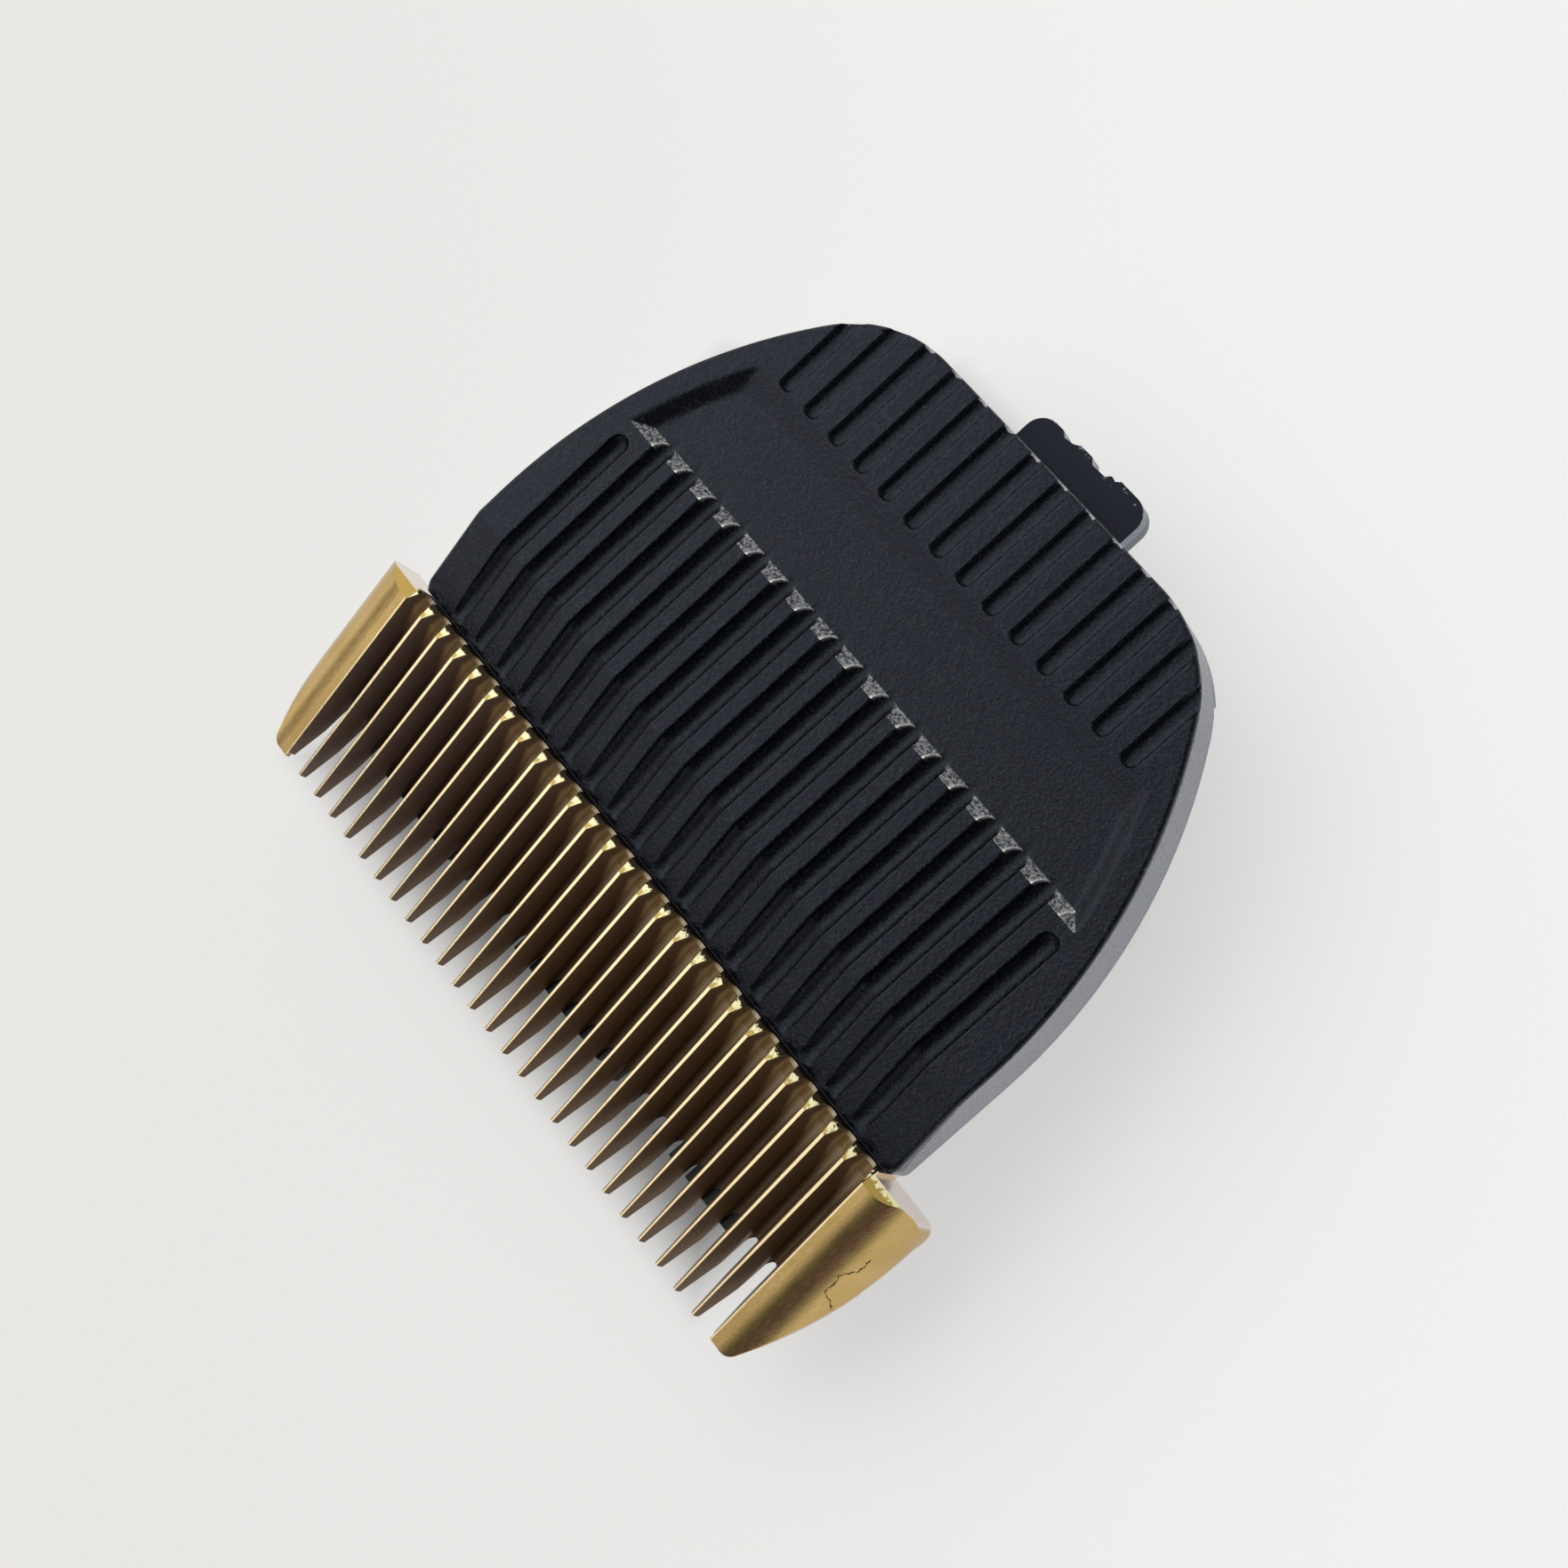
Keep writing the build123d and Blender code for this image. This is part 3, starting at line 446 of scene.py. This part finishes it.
def guard_back(x, y):
    """Height of the right end guard's back: the ridge line less the round that falls to the outer side."""
    t = np.clip((x - GUARD_SHOULDER) / GUARD_RADIUS, 0, 0.999)
    return RIDGE_Z + RIDGE_SLOPE * y - GUARD_RADIUS * (1 - np.sqrt(1 - t ** 2)) * math.hypot(1, RIDGE_SLOPE)


def add_crack(material):
    """Hairline crack in the gold: a ribbon of uneven width along a bent line on the right guard's back."""
    bends = np.array(CRACK_BENDS)
    at = np.linspace(0, len(bends) - 1, CRACK_POINTS)
    line = np.stack([np.interp(at, np.arange(len(bends)), bends[:, k]) for k in range(2)], -1)
    line[1:-1] = (line[:-2] + 2 * line[1:-1] + line[2:]) / 4
    along = np.gradient(line, axis=0)
    across = np.stack([-along[:, 1], along[:, 0]], -1) / np.linalg.norm(along, axis=1)[:, None]
    line += across * (0.018 * np.sin(at * 7.3) + 0.012 * np.sin(at * 17.9 + 1))[:, None]
    half = CRACK_HALF + 0.008 * np.sin(at * 5.1) + 0.006 * np.sin(at * 13.7)
    half = half * np.clip(np.minimum(at, at[-1] - at) / 0.3, 0.15, 1)
    half += 0.02 * np.exp(-((at - CRACK_PIT_AT) / 0.12) ** 2)
    rows = np.stack([line + across * half[:, None], line - across * half[:, None]])
    height = guard_back(rows[..., 0], rows[..., 1])[..., None] + CRACK_LIFT
    points = np.concatenate([rows, height], -1).reshape(-1, 3)
    add_piece("gold_crack_line", points, grid_triangles(2, len(at)), "head", [material])


# Materials

class Nodes:
    """Writes shader nodes with short calls."""

    def __init__(self, tree):
        self.tree = tree

    def add(self, kind, **settings):
        node = self.tree.nodes.new(kind)
        for key, value in settings.items():
            setattr(node, key, value)
        return node

    def put(self, socket, value):
        """Links an output to the socket, or sets the socket's own value."""
        if isinstance(value, bpy.types.NodeSocket):
            self.tree.links.new(value, socket)
        else:
            socket.default_value = value

    def calc(self, operation, a, b=0.0, c=0.0):
        node = self.add("ShaderNodeMath", operation=operation)
        for socket, value in zip(node.inputs, (a, b, c)):
            self.put(socket, value)
        return node.outputs[0]

    def times(self, *values):
        result = values[0]
        for value in values[1:]:
            result = self.calc("MULTIPLY", result, value)
        return result

    def plus(self, a, b):
        return self.calc("ADD", a, b)

    def less(self, a, b):
        return self.calc("SUBTRACT", a, b)

    def most(self, *values):
        result = values[0]
        for value in values[1:]:
            result = self.calc("MAXIMUM", result, value)
        return result

    def ramp(self, value, low, high, to_low=0.0, to_high=1.0):
        """Smooth change from to_low to to_high while the value goes from low to high."""
        node = self.add("ShaderNodeMapRange", interpolation_type="SMOOTHSTEP")
        for socket, v in zip(node.inputs, (value, low, high, to_low, to_high)):
            self.put(socket, v)
        return node.outputs[0]

    def blend(self, factor, a, b):
        """Colour a where the factor is 0 and colour b where it is 1."""
        node = self.add("ShaderNodeMix", data_type="RGBA")
        self.put(node.inputs["Factor"], factor)
        for socket, value in ((node.inputs[6], a), (node.inputs[7], b)):
            self.put(socket, value if isinstance(value, bpy.types.NodeSocket) else (*value, 1.0))
        return node.outputs[2]

    def split(self, vector):
        node = self.add("ShaderNodeSeparateXYZ")
        self.put(node.inputs[0], vector)
        return list(node.outputs)


class Finish(Nodes):
    """A material whose textures read Object coordinates, with noise sizes in features per millimetre."""

    def __init__(self, name):
        self.material = bpy.data.materials.new(name)
        self.material.use_nodes = True
        super().__init__(self.material.node_tree)
        self.shader = self.tree.nodes["Principled BSDF"]
        self.place = self.add("ShaderNodeTexCoord").outputs["Object"]
        self.mm = [self.calc("MULTIPLY", v, 1 / MM) for v in self.split(self.place)]
        self.facing = self.split(self.add("ShaderNodeNewGeometry").outputs["True Normal"])

    def set(self, **values):
        """Sets inputs of the shader; an underscore in a key stands for a space."""
        for key, value in values.items():
            self.put(self.shader.inputs[key.replace("_", " ")], value)

    def noise(self, per_mm, detail, rough, stretch=None):
        place = self.place
        if stretch:
            node = self.add("ShaderNodeMapping")
            self.put(node.inputs["Vector"], place)
            node.inputs["Scale"].default_value = stretch
            place = node.outputs["Vector"]
        node = self.add("ShaderNodeTexNoise")
        self.put(node.inputs["Vector"], place)
        node.inputs["Scale"].default_value = per_mm / MM
        node.inputs["Detail"].default_value = detail
        node.inputs["Roughness"].default_value = rough
        return node.outputs["Fac"]

    def dots(self, per_mm):
        node = self.add("ShaderNodeTexVoronoi")
        self.put(node.inputs["Vector"], self.place)
        node.inputs["Scale"].default_value = per_mm / MM
        return node.outputs["Distance"]

    def attribute(self, name):
        return self.add("ShaderNodeAttribute", attribute_name=name).outputs["Fac"]

    def bump(self, *layers):
        """Bump from layers of (height, depth in millimetres), one over the other."""
        normal = None
        for height, depth_mm in layers:
            node = self.add("ShaderNodeBump")
            node.inputs["Strength"].default_value = 1.0
            node.inputs["Distance"].default_value = depth_mm * MM
            self.put(node.inputs["Height"], height)
            if normal is not None:
                self.put(node.inputs["Normal"], normal)
            normal = node.outputs["Normal"]
        self.put(self.shader.inputs["Normal"], normal)


# Colours of the cover: coat, what shows where it is worn, and casting; the burrs' near-white, the greyer
# right rim and the bluer slope are painted light and shade
COVER_SHINE = 0.42
COVER_TINT = (0.70, 0.79, 1.0, 1.0)
COAT_BLACK = (0.0010, 0.0013, 0.0024)
COAT_BLUE = (0.0012, 0.0020, 0.0052)
COAT_GRAIN = (0.030, 0.031, 0.034)
COAT_LINT = (0.25, 0.25, 0.26)
RIM_LIGHT_GREY = (0.050, 0.055, 0.066)
BARE_DARK = (0.05, 0.05, 0.053)
BARE_PALE = (0.62, 0.63, 0.64)
RUB_DARK = (0.15, 0.15, 0.17)
RUB_PALE = (0.80, 0.82, 0.88)
BURR_GLINT_WHITE = (0.97, 0.97, 0.97)
CAST_DARK = (0.62, 0.65, 0.73)
CAST_PALE = (0.90, 0.93, 1.0)
CAST_CLOUD = (0.74, 0.77, 0.84)
CAST_BOTTOM = (0.24, 0.245, 0.26)
HOOK_BLACK = (0.0012, 0.0020, 0.0050)
HOOK_GRAIN = (0.0050, 0.0065, 0.0110)

# Colours of the comb: guards, ridges, slots between the teeth, end bevels and rear faces; the ridges' pale
# gold, the red band, the slots' tan and brown, the caps, the bevels' glint, the seam's dark and the guards'
# pale rear faces are painted light and shade
GOLD_DEEP = (0.55, 0.37, 0.138)
GOLD_LIGHT = (0.61, 0.425, 0.168)
GOLD_GRAIN = (0.47, 0.30, 0.105)
GOLD_RED_REFLECTION = (0.80, 0.43, 0.23)
RIDGE_HIGHLIGHT_GOLD = (0.98, 0.80, 0.47)
SHADED_FLOOR_TAN = (0.42, 0.28, 0.12)
SHADED_FLOOR_PALE = (0.54, 0.37, 0.17)
CAP_HIGHLIGHT_CREAM = (1.0, 0.90, 0.68)
SHADED_FLANK_LEFT = (0.21, 0.15, 0.12)
SHADED_FLANK_RIGHT = (0.20, 0.118, 0.054)
FLANK_GRAIN = (0.26, 0.17, 0.10)
FLANK_FOOT = (0.62, 0.47, 0.28)
BEVEL_GUARD = (0.50, 0.34, 0.095)
BEVEL_TOOTH = (0.66, 0.48, 0.15)
BEVEL_GLINT = (1.0, 0.94, 0.56)
SEAM_SHADOW = (0.03, 0.021, 0.014)
GUARD_REAR_REFLECTION = (0.86, 0.76, 0.69)
GROUND_STEEL = (0.50, 0.50, 0.50)


def black_coat():
    """Satin black coat: grain, blue-grey mottling, lint, chips along the rim, bare scuffed lands at the step,
    and burrs beside them in near-white as a painted glint.

    Along the rear edge the coat is rubbed to a thin grey line, bright where a groove runs out. On the right
    rim the coat is painted a little greyer, painted light where the rolled rim would look dark.
    """
    f = Finish("black_coat")
    x, y = f.mm[:2]
    grain = f.noise(6.5, 3.0, 0.65)
    pebble = f.noise(3.0, 3.0, 0.6)
    mottle = f.noise(0.22, 4.0, 0.6)
    ragged = f.noise(3.0, 4.0, 0.65)
    flake = f.noise(6.5, 3.0, 0.7)
    edge, land, line, groove = (f.attribute(name) for name in WEAR_AND_GLINT_NAMES)
    # Chips along the rim, a little wider at the rear
    reach = f.plus(f.less(0.02, edge), f.ramp(y, 13.0, 18.0, 0.0, 0.04))
    nick = f.ramp(f.plus(reach, f.times(f.less(ragged, 0.62), 1.2)), 0.0, 0.04)
    # Rubbed line along the rear edge, wider in the grooves' mouths
    beside = f.calc("WRAP", f.plus(x, RIB_PITCH / 2 - REAR_SHIFT), RIB_PITCH / 2, -RIB_PITCH / 2)
    mouth = f.times(groove, f.ramp(beside, 0.14, 0.04))
    rub = f.plus(f.calc("MULTIPLY_ADD", mouth, 0.09, 0.06), f.times(f.less(ragged, 0.5), 0.25))
    at_rear = f.ramp(y, REAR_Y - 0.3, REAR_Y - 0.2)
    rub = f.times(at_rear, f.ramp(f.less(rub, edge), 0.0, 0.03), f.ramp(edge, -0.02, 0.02))
    # Bare lands and burrs at the step; the burrs' near-white colour is a painted glint
    scuff = f.times(land, f.ramp(flake, 0.30, 0.42))
    burr_glint = f.times(line, f.ramp(ragged, 0.30, 0.42))
    worn_and_glint = f.most(nick, scuff, burr_glint, rub)
    # Black with blue patches, and bluer towards the rear; the bluer tone on the slope is painted shade
    slope_shade_tint = f.ramp(y, BREAK_Y + 0.3, BREAK_Y - 0.6, 0.0, 0.6)
    blue = f.most(f.ramp(mottle, 0.45, 0.68), slope_shade_tint, f.ramp(y, 8.0, 14.0, 0.0, 0.9))
    black = f.blend(blue, COAT_BLACK, COAT_BLUE)
    black = f.blend(f.ramp(grain, 0.5, 0.70), black, COAT_GRAIN)
    lint = f.times(f.ramp(f.dots(0.3), 0.022, 0.014), f.ramp(f.noise(0.2, 2.0, 0.5), 0.5, 0.54))
    black = f.blend(lint, black, COAT_LINT)
    # Painted light: the coat near the right rim is lifted to grey, where the rolled rim would look dark
    painted_rim_light = f.times(f.ramp(edge, 0.16, 0.0), f.ramp(x, 2.0, 10.0))
    black = f.blend(painted_rim_light, black, RIM_LIGHT_GREY)
    bare = f.blend(f.ramp(flake, 0.38, 0.66), BARE_DARK, BARE_PALE)
    bare = f.blend(rub, bare, f.blend(mouth, RUB_DARK, RUB_PALE))
    bare = f.blend(burr_glint, bare, BURR_GLINT_WHITE)
    f.set(Base_Color=f.blend(worn_and_glint, black, bare), Roughness=f.ramp(mottle, 0.3, 0.7, 0.23, 0.29))
    f.set(Metallic=f.most(f.times(scuff, 0.25), f.times(burr_glint, 0.9)))
    f.set(Specular_IOR_Level=COVER_SHINE, Specular_Tint=COVER_TINT)
    f.bump((grain, 0.045), (pebble, 0.03))
    return f.material


def grey_casting():
    """Blasted light grey casting: speckle, clouds, a darker bottom edge, and the hook's black upper face."""
    f = Finish("grey_casting")
    y, z = f.mm[1:]
    speck = f.noise(6.0, 3.0, 0.6)
    cloud = f.noise(0.5, 3.0, 0.5)
    ragged = f.noise(3.0, 4.0, 0.65)
    grey = f.blend(f.ramp(speck, 0.38, 0.66), CAST_DARK, CAST_PALE)
    grey = f.blend(f.ramp(cloud, 0.35, 0.65, 0.0, 0.5), grey, CAST_CLOUD)
    grey = f.blend(f.times(f.ramp(z, 5.85, 5.65), 0.45), grey, CAST_BOTTOM)
    hook_top = f.times(f.ramp(y, REAR_Y - 0.2, REAR_Y - 0.1), f.ramp(f.facing[2], 0.75, 0.85))
    black = f.blend(f.ramp(speck, 0.4, 0.7), HOOK_BLACK, HOOK_GRAIN)
    chip = f.times(f.ramp(y, HOOK_Y - 0.6, HOOK_Y - 0.1), f.ramp(ragged, 0.57, 0.62))
    f.set(Base_Color=f.blend(f.less(hook_top, f.times(hook_top, chip)), grey, black))
    f.set(Roughness=f.ramp(speck, 0.3, 0.7, 0.42, 0.52))
    f.set(Specular_IOR_Level=COVER_SHINE, Specular_Tint=COVER_TINT)
    f.bump((speck, 0.008))
    return f.material


def gold_coat():
    """Gold coat on ground steel: pale ridges as a painted highlight, gold guards with a painted reflection
    band, slots painted in shade (brown flanks, tan floors), and bevels with painted glints and painted
    shadow.
    """
    f = Finish("gold_coat")
    x, y, z = f.mm
    lines = f.noise(7.0, 3.0, 0.6, (1.0, 0.03, 1.0))
    cloud = f.noise(0.35, 3.0, 0.55)
    grain = f.noise(7.0, 2.0, 0.6)
    blotch = f.noise(4.5, 3.0, 0.65)
    # Depth below the ridge line and the end bevels, and the share of slots and of their steep flanks
    ridge = f.calc("MULTIPLY_ADD", y, RIDGE_SLOPE, RIDGE_Z)
    bevel = f.calc("MULTIPLY_ADD", y, -BEVEL_SLOPE, RIDGE_Z + (RIDGE_SLOPE + BEVEL_SLOPE) * KINK_Y)
    depth = f.less(f.calc("MINIMUM", ridge, bevel), z)
    outward = f.less(f.calc("ABSOLUTE", x), GUARD_INNER)
    in_row = f.ramp(outward, 0.03, -0.03)
    beside = f.calc("WRAP", x, TOOTH_PITCH / 2, -TOOTH_PITCH / 2)
    past_ridge = f.less(f.calc("ABSOLUTE", beside), f.ramp(y, TIP_Y, KINK_Y, 0.045, RIDGE_WIDTH / 2))
    thinned = f.times(f.ramp(past_ridge, -0.01, 0.015), f.ramp(y, KINK_Y, KINK_Y - 0.1))
    between = f.times(in_row, f.most(f.ramp(depth, 0.02, 0.10), thinned))
    flank = f.times(between, f.most(f.ramp(f.facing[2], 0.75, 0.45), thinned))
    # Guards and ridges; the tooth row is painted a paler gold, a painted highlight along the ridge tops
    gold = f.blend(f.ramp(cloud, 0.3, 0.7), GOLD_DEEP, GOLD_LIGHT)
    gold = f.blend(f.ramp(grain, 0.5, 0.75, 0.0, 0.35), gold, GOLD_GRAIN)
    # Painted reflection: a reddish band along the right guard's back
    red_reflection_band = f.times(f.ramp(x, 20.95, 21.1), f.ramp(x, 21.75, 21.5), 0.6)
    gold = f.blend(red_reflection_band, gold, GOLD_RED_REFLECTION)
    gold = f.blend(f.ramp(outward, 0.12, 0.06), gold, RIDGE_HIGHLIGHT_GOLD)
    # Slots: painted shade, tan on the floors with a pale cap at the cover, and brown on the steep flanks,
    # which are paler low down near the bevels
    tan = f.blend(f.ramp(lines, 0.35, 0.65), SHADED_FLOOR_TAN, SHADED_FLOOR_PALE)
    # Painted highlight: a pale cream band where the slot floors round over at the cover
    cap_highlight = f.ramp(y, FRONT_Y - 0.26, FRONT_Y - 0.18)
    tan = f.blend(cap_highlight, tan, CAP_HIGHLIGHT_CREAM)
    # Painted shade on the steep flanks and on the tooth tops beside the narrow ridge line, greyer on the left
    # and warmer on the right
    brown = f.blend(f.ramp(x, -16.0, 2.0), SHADED_FLANK_LEFT, SHADED_FLANK_RIGHT)
    brown = f.blend(f.ramp(grain, 0.35, 0.65, 0.0, 0.5), brown, FLANK_GRAIN)
    foot = f.ramp(f.calc("MULTIPLY_ADD", f.less(y, KINK_Y), 0.35, depth), 0.52, 0.85)
    foot = f.times(foot, f.ramp(y, KINK_Y - 2.5, KINK_Y))
    brown = f.blend(foot, brown, FLANK_FOOT)
    gold = f.blend(flank, f.blend(between, gold, tan), brown)
    # End bevels: dull gold with a painted glint in pale yellow behind the kink and on the right, and painted
    # shadow towards the cover
    at_end = f.times(f.ramp(y, KINK_Y - 0.03, KINK_Y + 0.03), f.ramp(depth, 0.10, 0.02))
    uneven = f.times(f.less(blotch, 0.5), f.ramp(x, -4.0, 6.0, 0.25, 0.9))
    back = f.plus(f.less(y, KINK_Y), uneven)
    side = f.plus(f.times(beside, in_row), uneven)
    bevel_glint = f.most(f.ramp(back, 0.26, 0.32), f.ramp(side, 0.06, 0.10))
    dull = f.blend(in_row, BEVEL_GUARD, BEVEL_TOOTH)
    bevel_glint = f.times(bevel_glint, f.most(in_row, f.times(f.ramp(back, 0.42, 0.50), f.ramp(x, -1.0, 1.0))))
    gold = f.blend(at_end, gold, f.blend(bevel_glint, dull, BEVEL_GLINT))
    # Painted shadow: near black on the teeth's bevels towards the cover and where they face back
    faces_back = f.ramp(f.facing[1], 0.6, 0.8)
    gold = f.blend(f.times(in_row, at_end, f.most(f.ramp(back, 0.56, 0.66), faces_back)), gold, SEAM_SHADOW)
    # Rear faces at the cover: a painted reflection of the pale table on the guards, and painted shadow on the
    # teeth
    behind = f.times(faces_back, f.ramp(y, FRONT_Y - 0.6, FRONT_Y - 0.3))
    gold = f.blend(behind, gold, f.blend(in_row, GUARD_REAR_REFLECTION, SEAM_SHADOW))
    under = f.ramp(f.facing[2], -0.6, -0.8)
    f.set(Base_Color=f.blend(under, gold, GROUND_STEEL))
    # The slots are dull and less metallic
    plain = f.most(f.ramp(flank, 0.0, 1.0, 0.55, 0.65), f.times(f.most(cap_highlight, foot), 0.85))
    f.set(Metallic=f.less(1.0, f.times(between, plain)))
    rough = f.plus(f.ramp(lines, 0.3, 0.7, 0.13, 0.20), f.times(between, 0.14))
    rough = f.plus(rough, f.ramp(outward, 0.05, 0.15, 0.0, 0.10))
    f.set(Roughness=f.plus(rough, f.times(flank, 0.14)))
    f.bump((lines, 0.003), (grain, 0.004), (f.times(at_end, in_row, blotch), 0.03))
    return f.material


def plain_finish(name, low, high, rough, metal, grain, depth):
    """Moulded or drawn finish: two close tones in fine noise, broad clouds in the gloss, a matching bump."""
    f = Finish(name)
    fine = f.noise(grain, 3.0, 0.6)
    cloud = f.noise(0.4, 3.0, 0.5)
    f.set(Base_Color=f.blend(f.ramp(fine, 0.35, 0.65), low, high), Metallic=metal)
    gloss = f.ramp(fine, 0.3, 0.7, rough - 0.05, rough + 0.03)
    f.set(Roughness=f.plus(gloss, f.ramp(cloud, 0.3, 0.7, 0.0, 0.05)))
    f.bump((fine, depth))
    return f.material


def dress(name, material):
    """Gives a solid's every material slot the finish."""
    mesh = nodes[name].data
    if not mesh.materials:
        mesh.materials.append(material)
    for i in range(len(mesh.materials)):
        mesh.materials[i] = material


casting = grey_casting()
dress("cover", casting)
dress("fixed_blade", gold_coat())
dress("moving_blade", plain_finish("cutter_black", (0.012, 0.012, 0.014), (0.022, 0.022, 0.025),
                                   rough=0.32, metal=0.4, grain=4.0, depth=0.003))
dress("cutter_carrier", plain_finish("carrier_plastic", (0.55, 0.55, 0.53), (0.63, 0.63, 0.60),
                                     rough=0.5, metal=0.0, grain=3.0, depth=0.004))
dress("spring_frame", plain_finish("frame_plastic", (0.016, 0.016, 0.018), (0.03, 0.03, 0.033),
                                   rough=0.5, metal=0.0, grain=4.0, depth=0.005))
wire = plain_finish("spring_wire", (0.42, 0.42, 0.43), (0.58, 0.58, 0.59),
                    rough=0.3, metal=1.0, grain=5.0, depth=0.002)
dress("spring_left", wire)
dress("spring_right", wire)
dress("frame_screws", plain_finish("screw_zinc", (0.5, 0.51, 0.53), (0.64, 0.65, 0.67),
                                   rough=0.32, metal=1.0, grain=3.0, depth=0.003))
add_cover(black_coat(), casting)
add_crack(plain_finish("crack_brown", (0.02, 0.012, 0.006), (0.05, 0.03, 0.015),
                       rough=0.7, metal=0.0, grain=6.0, depth=0.002))


# Floor, light and camera

FLOOR_HALF = 0.8
FLOOR_COLOUR = (0.60, 0.60, 0.595, 1.0)
FLOOR_WARM = (1.0, 0.985, 0.955)
FLOOR_WHITE = (1.0, 1.0, 1.0)
ROOM_COLOUR = (1.0, 0.995, 0.985, 1.0)
LAMP_COLOUR = (1.0, 0.99, 0.97)
LAMP_TOWARDS = (-0.78, -0.12, 0.61)
LAMP_SIZE = 0.4
LAMP_POWER = 0.25
LAMP_DISTANCE = 0.7
SENSOR = 36.0
FOCAL_PIXELS = 2692.137
PHOTO_PIXELS = 1763
CAMERA_RIGHT = (0.59357, 0.73417, -0.32965)
CAMERA_UP = (-0.71419, 0.66934, 0.20475)
CAMERA_BACK = (0.37097, 0.11390, 0.92164)
CAMERA_PLACE = (0.0455556, 0.0124901, 0.1160563)


def placed(right, up, back, place):
    """Matrix of an object that looks against back, with its right and up as given."""
    return Matrix([[*row] for row in zip(right, up, back, place)] + [[0, 0, 0, 1]])


def lay_floor():
    """Pale plain table; clear of the head it glows a little, so that the shade beside the head stays soft."""
    f = Finish("pale_table")
    x, y = f.mm[:2]
    # Distance outside a box with bevelled rear corners under the head
    # The box stops short on +X, so the glow, a painted light, reaches in under the head's right side and
    # lightens the shade there
    sides = f.most(f.less(-20.6, x), f.less(x, 14.5))
    ends = f.most(f.less(-20.4, y), f.less(y, 17.5))
    right = f.calc("MULTIPLY_ADD", x, 0.62, f.calc("MULTIPLY_ADD", y, 0.78, -13.5))
    left = f.calc("MULTIPLY_ADD", x, -0.62, f.calc("MULTIPLY_ADD", y, 0.78, -20.5))
    clear = f.most(sides, ends, left, right)
    # Painted light: the glow is a little stronger and whiter towards +X and +Y, and warmer and dimmer towards
    # -X and -Y
    across = f.ramp(f.calc("MULTIPLY_ADD", x, 0.8, f.times(y, 1.2)), -70.0, 70.0)
    ray = f.add("ShaderNodeLightPath").outputs
    seen = f.most(ray["Is Camera Ray"], ray["Is Glossy Ray"], ray["Is Transmission Ray"])
    glow = f.times(seen, f.ramp(clear, -1.5, 3.5), f.ramp(across, 0.0, 1.0, 0.51, 0.585))
    f.set(Base_Color=FLOOR_COLOUR, Roughness=0.7, Specular_IOR_Level=0.2)
    f.set(Emission_Color=f.blend(across, FLOOR_WARM, FLOOR_WHITE), Emission_Strength=glow)
    corners = [(-FLOOR_HALF, -FLOOR_HALF, 0), (FLOOR_HALF, -FLOOR_HALF, 0),
               (FLOOR_HALF, FLOOR_HALF, 0), (-FLOOR_HALF, FLOOR_HALF, 0)]
    mesh = bpy.data.meshes.new("floor")
    mesh.from_pydata(corners, [], [(0, 1, 2, 3)])
    mesh.materials.append(f.material)
    floor = bpy.data.objects.new("floor", mesh)
    bpy.context.scene.collection.objects.link(floor)


def light_room():
    """Soft room lit from the -X side, with a window lamp there.

    The sky is bright on -X and dim overhead and on +X; a dark strip crosses it ahead of the teeth, and a pale
    wall stands on +X, higher ahead of the teeth.
    """
    world = bpy.data.worlds.new("room")
    bpy.context.scene.world = world
    world.use_nodes = True
    n = Nodes(world.node_tree)
    back = world.node_tree.nodes["Background"]
    x, y, z = n.split(n.add("ShaderNodeTexCoord").outputs["Generated"])
    ahead = n.ramp(y, -0.28, -0.48)
    strip = n.times(ahead, n.ramp(z, 0.21, 0.32), n.ramp(z, 0.65, 0.53))
    low_sky = n.ramp(z, 0.16, 0.55, n.ramp(ahead, 0.0, 1.0, 0.32, 0.75), 1.0)
    sky = n.times(n.ramp(x, 0.15, -0.47, 0.07, 1.12), low_sky,
                  n.ramp(strip, 0.0, 1.0, 1.0, 0.22), n.ramp(ahead, 0.0, 1.0, 1.0, 1.28))
    top = n.ramp(ahead, 0.0, 1.0, 0.34, 0.54)
    wall = n.times(n.ramp(z, top, n.less(top, 0.36), 0.0, 0.94), n.ramp(x, -0.3, 0.3))
    back.inputs["Color"].default_value = ROOM_COLOUR
    n.put(back.inputs["Strength"], n.most(sky, wall))
    lamp = bpy.data.lights.new("window", "AREA")
    lamp.size = LAMP_SIZE
    lamp.energy = LAMP_POWER
    lamp.color = LAMP_COLOUR
    away = np.array(LAMP_TOWARDS)
    away /= np.linalg.norm(away)
    right = np.cross([0, 0, 1.0], away)
    right /= np.linalg.norm(right)
    window = bpy.data.objects.new("window", lamp)
    window.matrix_world = placed(right, np.cross(away, right), away, LAMP_DISTANCE * away)
    bpy.context.scene.collection.objects.link(window)


def set_camera():
    """Camera where the photograph was taken from, worked out from the head's own sizes."""
    data = bpy.data.cameras.new("camera")
    data.sensor_width = SENSOR
    data.lens = SENSOR * FOCAL_PIXELS / PHOTO_PIXELS
    data.clip_start = 0.005
    camera = bpy.data.objects.new("camera", data)
    camera.matrix_world = placed(CAMERA_RIGHT, CAMERA_UP, CAMERA_BACK, CAMERA_PLACE)
    bpy.context.scene.collection.objects.link(camera)
    bpy.context.scene.camera = camera


lay_floor()
light_room()
set_camera()
bpy.context.scene.view_settings.view_transform = "Standard"
